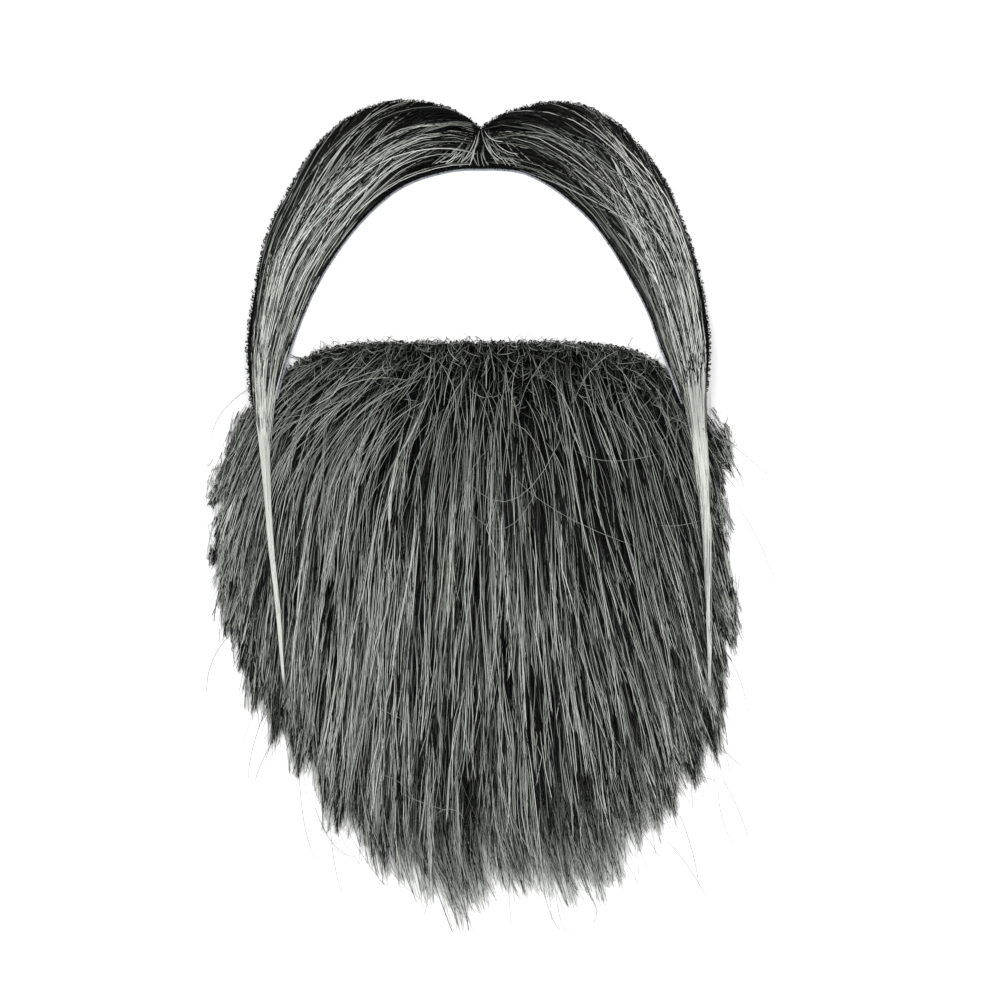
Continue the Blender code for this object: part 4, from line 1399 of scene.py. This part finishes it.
def lock_strands(rng, lock, count, stops):
    """Strands followed from the lock's point back up the fall of the hair, then turned round. Each
    ends in one of the lock's few points, of which the first is its longest."""
    length = lock.length * MM * rng.uniform(0.5, 1.0, count)
    point = rng.integers(0, LOCK_POINTS, count)
    point_side = np.append(0.0, rng.uniform(-0.5, 0.5, LOCK_POINTS - 1))[point]
    point_short = np.append(0.0, rng.uniform(*POINT_SHORTER, LOCK_POINTS - 1))[point]
    lateral = rng.uniform(-0.5, 0.5, count)
    backward = [np.tile(np.array((lock.x, lock.y)) * MM, (count, 1))]
    swerve = np.radians(rng.normal(0, LOCK_SWERVE, count))
    for step in np.diff(stop_shares(stops))[::-1]:
        angle = fall_of_pile(backward[-1]) + swerve
        backward.append(backward[-1] - (length * step)[:, None] * heading(angle))
    paths = np.stack(backward[::-1], axis=1)
    t = np.linspace(0, 1, stops)
    side = lateral[:, None] * (1 - t**LOCK_GATHER)
    side = side + (point_side + POINT_WIDTH_SHARE * lateral)[:, None] * t**LOCK_GATHER
    angle = fall_of_pile(paths)
    across = np.stack((np.cos(angle), np.sin(angle)), axis=-1) * (side * lock.width * MM)[..., None]
    short = point_short + POINT_BLUNTNESS * (np.abs(lateral) - 1) + rng.exponential(END_SCATTER, count)
    back = heading(angle) * (short[:, None] * lock.width * MM * t)[..., None]
    return paths + across - back


def lock_material():
    """Ends of the modacrylic pile: the same greys with a lighter painted shade at the root, paler towards
    the point.
    """
    tones = [
        (0.0, linear("060606")),
        (0.3, linear("383a38")),
        (0.6, linear("888c86")),
        (1.0, linear("cfd1cb")),
    ]
    # Painted shade at the root, lighter than the pile's
    shade = [(0.0, grey(0.5)), (0.4, grey(0.85)), (1.0, grey(1.0))]
    pale = [(0.0, grey(0.0)), (0.5, grey(0.3)), (1.0, grey(0.8))]
    finish = {"Roughness": 0.5, "Specular IOR Level": 0.25}
    return fibre_material("modacrylic_lock_ends", tones, shade, linear("c0c4bc"), pale, finish)


class BEARD_OT_top_hair(bpy.types.Operator):
    """Pale single hairs that lie across the pile, most of them from under the top rim"""

    bl_idname = "beard.top_hair"
    bl_label = "Top hair"

    def execute(self, context):
        settings = context.scene.beard
        rng = np.random.default_rng(39)
        relief = relief_of("beard_fur")
        roots = scattered(rng, relief, settings.top_hairs * SPARE_ROOTS, TOP_HAIR_END_Y)
        fringe = ease((FRINGE_TOP_Y - roots[:, 1]) / FRINGE_FADE)
        under_rim = ease((roots[:, 1] - TOP_HAIR_THIN_Y) / TOP_HAIR_FADE)
        wanted = TOP_HAIR_LEAST + (1 - TOP_HAIR_LEAST) * under_rim + FRINGE_HAIRS * fringe
        wanted = wanted * (1 - FEWER_AT_RIGHT * ease(roots[:, 0] / FEWER_AT_RIGHT_FADE))
        roots = roots[rng.uniform(0, 1, len(roots)) < wanted]
        roots = roots[rng.permutation(len(roots))[:settings.top_hairs]]
        count = len(roots)
        fringe = ease((FRINGE_TOP_Y - roots[:, 1]) / FRINGE_FADE)
        swerve = TOP_HAIR_SWERVE + FAN_SWERVE * fan_share(roots) + FRINGE_SWERVE * fringe
        swerve = np.radians(rng.normal(0, 1, count) * swerve)
        wave = drawn_waves(rng, count, TOP_HAIR_WAVE_TURN, TOP_HAIR_WAVE_PACE)
        length = rng.uniform(*TOP_HAIR_LENGTH, count) * MM
        guides = follow_fall(roots, swerve, wave, length, FULL_SWEEP)
        paths = trimmed(guides, relief, np.full(count, TOP_HAIR_OVERHANG), TOP_HAIR_STOPS)
        level = rng.uniform(*TOP_HAIR_LEVEL, count)
        rise = np.full(count, TOP_HAIR_RISE)
        paths = laid_up(paths, relief, level, TOP_HAIR_ROOT_Z, rise, TOP_HAIR_LOWEST)
        radii = taper(settings.radius * rng.uniform(*TOP_HAIR_THICKNESS, count), TOP_HAIR_STOPS)
        tones = rng.uniform(0.5, 1, count)
        hair_object("beard_top_hair", "beard_fur", paths, radii, tones, curl_material())
        return {"FINISHED"}


class BEARD_OT_beard_curls(bpy.types.Operator):
    """Short loose hairs of cut pile along the beard's top rim"""

    bl_idname = "beard.beard_curls"
    bl_label = "Beard curls"

    def execute(self, context):
        settings = context.scene.beard
        rng = np.random.default_rng(33)
        count = settings.curls
        start = rim_point(rng.uniform(-CURL_SPAN, CURL_SPAN, count))
        at_rim = rng.uniform(0, 1, count) < CURLS_AT_RIM
        start[:, 1] -= np.abs(rng.normal(0, 1, count)) * np.where(at_rim, RIM_CURL_DROP, CURL_DROP)
        scatter = rng.normal(0, 1, count) * np.where(at_rim, RIM_CURL_SCATTER, CURL_SCATTER)
        angle = fall_of_pile(start) + scatter
        turn = np.radians(rng.normal(0, CURL_TURN, count))
        length = rng.uniform(*CURL_LENGTH, count) * np.where(at_rim, RIM_CURL_SHARE, 1) * MM
        stride = length[:, None] / (CURL_STOPS - 1)
        places = [start]
        for k in range(CURL_STOPS - 1):
            places.append(places[-1] + stride * heading(angle + turn * k / (CURL_STOPS - 1)))
        paths = np.stack(places, axis=1)
        paths[..., 1] = np.minimum(paths[..., 1], RIM_MIDDLE_Y + CURL_OVER_RIM)
        level = rng.uniform(*CURL_LEVEL, count)
        rise = np.full(count, CURL_RISE)
        paths = laid_up(paths, relief_of("beard_fur"), level, PILE_ROOT_Z, rise, CURL_LOWEST)
        radii = taper(settings.radius * rng.uniform(*CURL_THICKNESS, count), CURL_STOPS)
        tones = rng.uniform(0.0, 1.0, count) ** 2
        hair_object("beard_curls", "beard_fur", paths, radii, tones, curl_material())
        return {"FINISHED"}


def curl_material():
    """Cut ends of the same modacrylic pile: grey, with only a light painted shade at the root in place of
    the pile's dark one.
    """
    tones = [(0.0, linear("080908")), (0.5, linear("555a54")), (1.0, linear("c6cac2"))]
    # Painted shade: slightly darker at the root
    plain = [(0.0, grey(0.7)), (1.0, grey(1.0))]
    none = [(0.0, grey(0.0)), (1.0, grey(0.1))]
    finish = {"Roughness": 0.45, "Specular IOR Level": 0.4}
    return fibre_material("cut_pile", tones, plain, linear("c3c6bf"), none, finish)


class BEARD_OT_flyaways(bpy.types.Operator):
    """Single hairs that cross the beard or stand off its outline"""

    bl_idname = "beard.flyaways"
    bl_label = "Flyaways"

    def execute(self, context):
        settings = context.scene.beard
        rng = np.random.default_rng(44)
        relief = relief_of("beard_fur")
        drawn = np.concatenate((stray_paths(FLYAWAY_STOPS), ring_paths(FLYAWAY_STOPS)))
        level = np.full(len(drawn), STRAY_LEVEL)
        rise = np.full(len(drawn), STRAY_RISE)
        drawn = laid_up(drawn, relief, level, STRAY_ROOT_Z, rise, LOWEST_HAIR)
        tones = np.array([stray.tone for stray in STRAYS] + [RING_TONE] * len(RINGS))
        loose = edge_strays(rng, relief, settings.flyaways, FLYAWAY_STOPS)
        paths = np.concatenate((drawn, loose))
        tones = np.concatenate((tones, rng.uniform(*FLYAWAY_TONES, len(loose))))
        radii = taper(settings.radius * rng.uniform(*FLYAWAY_THICKNESS, len(paths)), FLYAWAY_STOPS)
        hair_object("beard_flyaways", "beard_fur", paths, radii, tones, curl_material())
        return {"FINISHED"}


def ring_paths(stops):
    """Rings that single hairs curl into, each opening out as it goes round."""
    t = np.linspace(0, 1, stops)
    x, y, radius, sweep = np.array(RINGS).T[:, :, None]
    turn = np.radians(sweep * t)
    reach = radius * (1 + RING_OPENING * t)
    return np.stack((x + reach * np.cos(turn), y + reach * np.sin(turn)), axis=-1) * MM


def stray_paths(stops):
    """Curves through the start, middle and end of each stray hair."""
    t = np.linspace(0, 1, stops)[None, :, None]
    table = np.array([stray[:6] for stray in STRAYS]) * MM
    start, middle, end = np.split(table[:, None], 3, axis=2)
    pull = 2 * middle - (start + end) / 2
    return start * (1 - t) ** 2 + 2 * pull * t * (1 - t) + end * t**2


def edge_strays(rng, relief, count, stops):
    """Hairs that leave the outline a little way, most of them along the sides and the fringe."""
    roots = scattered(rng, relief, count * SPARE_STRAY_ROOTS, STRAY_END_Y)
    roots = roots[(np.abs(roots[:, 0]) > STRAY_SIDE_X) | (roots[:, 1] < STRAY_FRINGE_Y)]
    roots = roots[rng.permutation(len(roots))[:count]]
    total = len(roots)
    swerve = np.radians(rng.normal(0, STRAY_SWERVE, total))
    wave = drawn_waves(rng, total, STRAY_WAVE_TURN, STRAY_WAVE_PACE)
    length = rng.uniform(*STRAY_LENGTH, total) * MM
    guides = follow_fall(roots, swerve, wave, length)
    overhang = rng.exponential(STRAY_OVERHANG, total) * MM + LEAST_OVERHANG
    paths = trimmed(guides, relief, np.minimum(overhang, MOST_OVERHANG), stops)
    level = rng.uniform(*EDGE_STRAY_LEVEL, total)
    rise = np.full(total, EDGE_STRAY_RISE)
    return laid_up(paths, relief, level, EDGE_STRAY_ROOT_Z, rise, LOWEST_HAIR)


class BEARD_OT_moustache_hair(bpy.types.Operator):
    """Hair of the moustache, from the notch over each lobe and down the leg to its point"""

    bl_idname = "beard.moustache_hair"
    bl_label = "Moustache hair"

    def execute(self, context):
        settings = context.scene.moustache
        finish = moustache_hair_material()
        fuzz = curl_material()
        for side, seed, leg in (
            ("left", 55, Leg(LEFT_LEG, LEFT_END)),
            ("right", 56, Leg(RIGHT_LEG, RIGHT_END)),
        ):
            rng = np.random.default_rng(seed)
            moustache_strands(side, rng, leg, settings, finish)
            moustache_fuzz(side, rng, leg, settings, fuzz)
        return {"FINISHED"}


def moustache_strands(side, rng, leg, settings, finish):
    """Wisps that leave the lobe all over and draw together into the leg's pale ridge, a share of
    them down to its loose end. The others are darker, shorter and keep their own place across."""
    wisps = settings.wisps
    stops = settings.stops
    count = wisps * settings.strands
    ridge = rng.uniform(0, 1, wisps) < RIDGE_SHARE
    root = leg.held * ROOTED_SHARE * rng.uniform(0, 1, wisps) ** ROOTS_TO_NOTCH
    reach = rng.uniform(*WISP_REACH, wisps) * leg.whole
    full = rng.uniform(0, 1, wisps) < np.where(ridge, RIDGE_TO_END, OTHERS_TO_END)
    reach = np.where(full, leg.whole, reach)
    goal = np.where(ridge, rng.normal(*RIDGE_GOAL, wisps), rng.uniform(*OTHER_GOAL, wisps))
    across_root = 0.02 + 0.96 * rng.uniform(0, 1, wisps) ** ROOTS_TO_EDGE
    beside = np.clip(goal + rng.normal(*ROOT_BESIDE_GOAL, wisps), 0.03, 0.97)
    across_root = np.where(ridge, across_root, beside)
    pull = rng.uniform(*PULL, wisps) * MM
    swing = rng.uniform(0, ANY_PHASE, wisps)
    width = rng.uniform(*HANK_WIDTH, wisps)
    closing = rng.uniform(*HANK_CLOSING, wisps)
    tone = np.where(ridge, RIDGE_TONE, OTHER_TONE) + rng.normal(0, HANK_TONE_SPREAD, wisps)
    layer = rng.uniform(0, HANK_DEPTH, wisps) * np.where(ridge, 0.5, 1)

    def each(values):
        """One value a strand, from one a wisp."""
        return np.repeat(values, settings.strands)

    root = np.clip(each(root) + rng.uniform(-ROOT_STAGGER, ROOT_STAGGER, count), 0, leg.held)
    end = np.minimum(root + each(reach), leg.whole * (1 - END_RAGGED * rng.uniform(0, 1, count) ** 2))
    stagger = np.where(end < leg.whole * 0.9, rng.uniform(0, END_STAGGER, count), 0)
    tones = strand_tones(rng, count, each(tone), *HANK_TONE_SHARES)
    end = np.minimum(end - stagger, np.where(tones < BLACK_TONE, BLACK_REACH, 1) * leg.whole)
    end = np.maximum(end, root + SHORTEST_STRAND)
    along = leg.between(root, end, stops)
    gone = along - root[:, None]
    lean = each(np.where(ridge, RIDGE_LEAN, RIDGE_LEAN / 2))[:, None]
    lean = lean * (1 - ease((along - RIDGE_LEAN_START) / RIDGE_LEAN_FADE))
    aim = each(goal)[:, None] + lean * (1 - each(goal)[:, None])
    drift = 1 - (1 - np.clip(gone / each(pull)[:, None], 0, 1)) ** DRIFT_POWER
    across = each(across_root)[:, None] + (aim - each(across_root)[:, None]) * drift
    offset = rng.uniform(-0.5, 0.5, count) * each(width)
    across = across + offset[:, None] * (1 - each(closing)[:, None] * ease(gone / leg.whole))
    ripple = RIPPLE * ease(gone[:, -1:] / RIPPLE_FULL)
    pace = rng.uniform(*RIPPLE_PACE, (count, 1)) * MM
    across = across + ripple * np.sin(each(swing)[:, None] + gone / HANK_PACE)
    across = across + ripple * np.sin(rng.uniform(0, ANY_PHASE, (count, 1)) + gone / pace)
    bare = ease((along / leg.held - 0.5) / 0.4) * ease((leg.held - along) / BARE_BAND_FADE + 1)
    across = np.clip(across, 0.02 + BARE_BAND * bare + 0.1 * np.abs(offset[:, None]), 0.98)
    flat = leg.place(along, across)
    level = 1 - np.clip(each(layer) + rng.uniform(*STRAND_LAYER, count), 0, 1)
    # First half of the map: painted shade at the root; second half: the pale end of the leg
    place = np.minimum(gone / ROOT_SHADE, 1) + ease((along / leg.whole - PALE_START) / PALE_FADE)
    fan, fan_along, fan_tones = notch_fan(rng, leg, stops)
    place = MAP_HALF * np.concatenate((place, np.broadcast_to(stop_shares(stops), fan.shape[:2])))
    flat = np.concatenate((flat, fan))
    along = np.concatenate((along, fan_along))
    level = np.concatenate((level, rng.uniform(0.9, 1, len(fan))))
    # Painted shade darkens the strands that lie deep in the hair
    tones = np.concatenate((shaded_by_depth(tones, level[:count]), fan_tones))
    paths = laid_on_leg(flat, along, level, leg, relief_of(f"moustache_hair_{side}"))
    radii = taper(settings.radius * rng.uniform(*HANK_THICKNESS, len(paths)), stops)
    name = f"moustache_strands_{side}"
    hair_object(name, f"moustache_hair_{side}", paths, radii, tones, finish, place=place)


def laid_on_leg(flat, along, level, leg, relief):
    """Heights of the moustache's strands: off the knit at the root, then up to their own level, and
    over the beard's pile at the loose end."""
    inside = relief.read(relief.cover, flat) > 0.95
    spare = relief.read(relief.under, leg.place(along, 0.5))
    top = np.where(inside, relief.read(relief.top, flat), spare + LEAST_HANK_DEPTH)
    under = np.where(inside, relief.read(relief.under, flat), spare)
    climb = 1 - (1 - np.clip(travelled(flat) / HANK_RISE, 0, 1)) ** 2
    z = under + (top - under) * level[:, None] * climb
    bed = relief_of("beard_fur")
    loose = ease((along - LOOSE_START * leg.held) / LOOSE_FADE)
    lifted = bed.read(bed.top, flat) + END_LIFT * (0.4 + 0.6 * level[:, None])
    z = np.maximum(z, lifted * loose)
    return np.concatenate((flat, np.maximum(z, LOWEST_HAIR)[..., None]), axis=2)


def notch_fan(rng, leg, stops):
    """Short pale hairs that spread down from the notch like the ribs of a fan."""
    count = NOTCH_FAN_HAIRS
    side = np.sign(leg.place(leg.held, 0.5)[0] - NOTCH_X)
    spread = rng.uniform(0, 1, count) ** 1.3
    angle = NOTCH_FAN_START + NOTCH_FAN_SPREAD * spread
    angle = np.radians(angle + rng.normal(0, NOTCH_FAN_SCATTER, count))
    x = NOTCH_X + side * (0.2 * MM + NOTCH_FAN_WIDTH * spread)
    y = NOTCH_Y - 2 * MM * spread - rng.uniform(0, NOTCH_FAN_DEPTH, count)
    length = np.minimum(rng.uniform(*NOTCH_FAN_LENGTH, count) * MM, (y - NOTCH_FAN_END_Y) / np.cos(angle))
    t = np.linspace(0, 1, stops)
    angle = angle[:, None] + rng.normal(*NOTCH_FAN_BEND, count)[:, None] * t
    run = length[:, None] * t
    flat = np.stack((x[:, None] + side * run * np.sin(angle), y[:, None] - run * np.cos(angle)), axis=-1)
    return flat, np.full(angle.shape, NOTCH_FAN_ALONG), rng.uniform(*NOTCH_FAN_TONES, count)


def moustache_fuzz(side, rng, leg, settings, finish):
    """Short hairs that stick out past both cut edges of the moustache."""
    relief = relief_of(f"moustache_hair_{side}")
    count = FUZZ_HAIRS
    outer = rng.uniform(0, 1, count) < OUTER_FUZZ_SHARE
    along = rng.uniform(0.01, 1, count) * leg.held
    edge = leg.place(along, np.where(outer, 0.03, 1.0))
    middle = leg.place(along, 0.5)
    outward = edge - middle
    angle = np.arctan2(outward[:, 1], outward[:, 0]) + rng.normal(0, FUZZ_SCATTER, count)
    length = rng.uniform(*FUZZ_LENGTH, count) * MM
    t = np.linspace(0, 1, FUZZ_STOPS)
    angle = angle[:, None] + rng.normal(0, FUZZ_BEND, count)[:, None] * t
    run = (length[:, None] * t)[..., None]
    flat = edge[:, None] + run * np.stack((np.cos(angle), np.sin(angle)), axis=-1)
    z = relief.read(relief.under, middle) + rng.uniform(*FUZZ_HEIGHT, count) * MM
    z = np.repeat(np.maximum(z, LOWEST_HAIR)[:, None], FUZZ_STOPS, axis=1)
    paths = np.concatenate((flat, z[..., None]), axis=2)
    radii = taper(settings.radius * rng.uniform(*FUZZ_THICKNESS, count), FUZZ_STOPS)
    tones = rng.uniform(*FUZZ_TONES, count)
    hair_object(f"moustache_fuzz_{side}", f"moustache_hair_{side}", paths, radii, tones, finish)


class BEARD_OT_stage(bpy.types.Operator):
    """Plain floor, soft light and the camera that looks straight down"""

    bl_idname = "beard.stage"
    bl_label = "Stage"

    def execute(self, context):
        settings = context.scene.stage
        bpy.ops.mesh.primitive_plane_add(size=settings.floor, location=(0, 0, 0))
        floor = context.object
        floor.name = "floor"
        paper, _, _ = new_material("matt_paper", {"Base Color": linear("f6f6f6"), "Roughness": 0.95})
        floor.data.materials.append(paper)
        for lamp in LAMPS:
            light = bpy.data.lights.new(lamp.name, "AREA")
            light.shape = "DISK"
            light.size = LAMP_SIZE
            light.energy = settings.light * lamp.share
            holder = bpy.data.objects.new(lamp.name, light)
            holder.location = lamp.place
            holder.rotation_euler = (-holder.location).to_track_quat("-Z", "Y").to_euler()
            context.scene.collection.objects.link(holder)
        world = bpy.data.worlds.new("even_light")
        world.use_nodes = True
        background = world.node_tree.nodes["Background"]
        background.inputs["Color"].default_value = grey(1)
        background.inputs["Strength"].default_value = settings.sky
        context.scene.world = world
        context.scene.view_settings.view_transform = "Standard"
        camera = bpy.data.cameras.new("camera")
        camera.lens = LENS
        camera.sensor_width = SENSOR
        camera.clip_end = 10
        eye = bpy.data.objects.new("camera", camera)
        eye.location = (*FRAME_CENTRE, FRAME_WIDTH * LENS / SENSOR)
        context.scene.collection.objects.link(eye)
        context.scene.camera = eye
        return {"FINISHED"}


STEPS = (
    BEARD_OT_stage,
    BEARD_OT_knit_panels,
    BEARD_OT_edge_loops,
    BEARD_OT_adhesive_strip,
    BEARD_OT_beard_pile,
    BEARD_OT_edge_locks,
    BEARD_OT_top_hair,
    BEARD_OT_beard_curls,
    BEARD_OT_flyaways,
    BEARD_OT_moustache_hair,
)


class BEARD_PT_panel(bpy.types.Panel):
    """Steps that dress the beard, in order"""

    bl_idname = "BEARD_PT_panel"
    bl_label = "Fake Beard"
    bl_space_type = "VIEW_3D"
    bl_region_type = "UI"
    bl_category = "Beard"

    def draw(self, context):
        for step in STEPS:
            self.layout.operator(step.bl_idname)


GROUPS = {
    "beard": BeardSettings,
    "moustache": MoustacheSettings,
    "knit": KnitSettings,
    "stage": StageSettings,
}


def register():
    for cls in (*GROUPS.values(), *STEPS, BEARD_PT_panel):
        bpy.utils.register_class(cls)
    for name, group in GROUPS.items():
        setattr(bpy.types.Scene, name, bpy.props.PointerProperty(type=group))


def unregister():
    for name in GROUPS:
        delattr(bpy.types.Scene, name)
    for cls in (BEARD_PT_panel, *reversed(STEPS), *reversed(GROUPS.values())):
        bpy.utils.unregister_class(cls)


def main():
    register()
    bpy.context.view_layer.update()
    bpy.ops.beard.stage()
    bpy.ops.beard.knit_panels()
    bpy.ops.beard.edge_loops()
    bpy.ops.beard.adhesive_strip()
    bpy.ops.beard.beard_pile()
    bpy.ops.beard.edge_locks()
    bpy.ops.beard.top_hair()
    bpy.ops.beard.beard_curls()
    bpy.ops.beard.flyaways()
    bpy.ops.beard.moustache_hair()


if __name__ == "__main__":
    main()
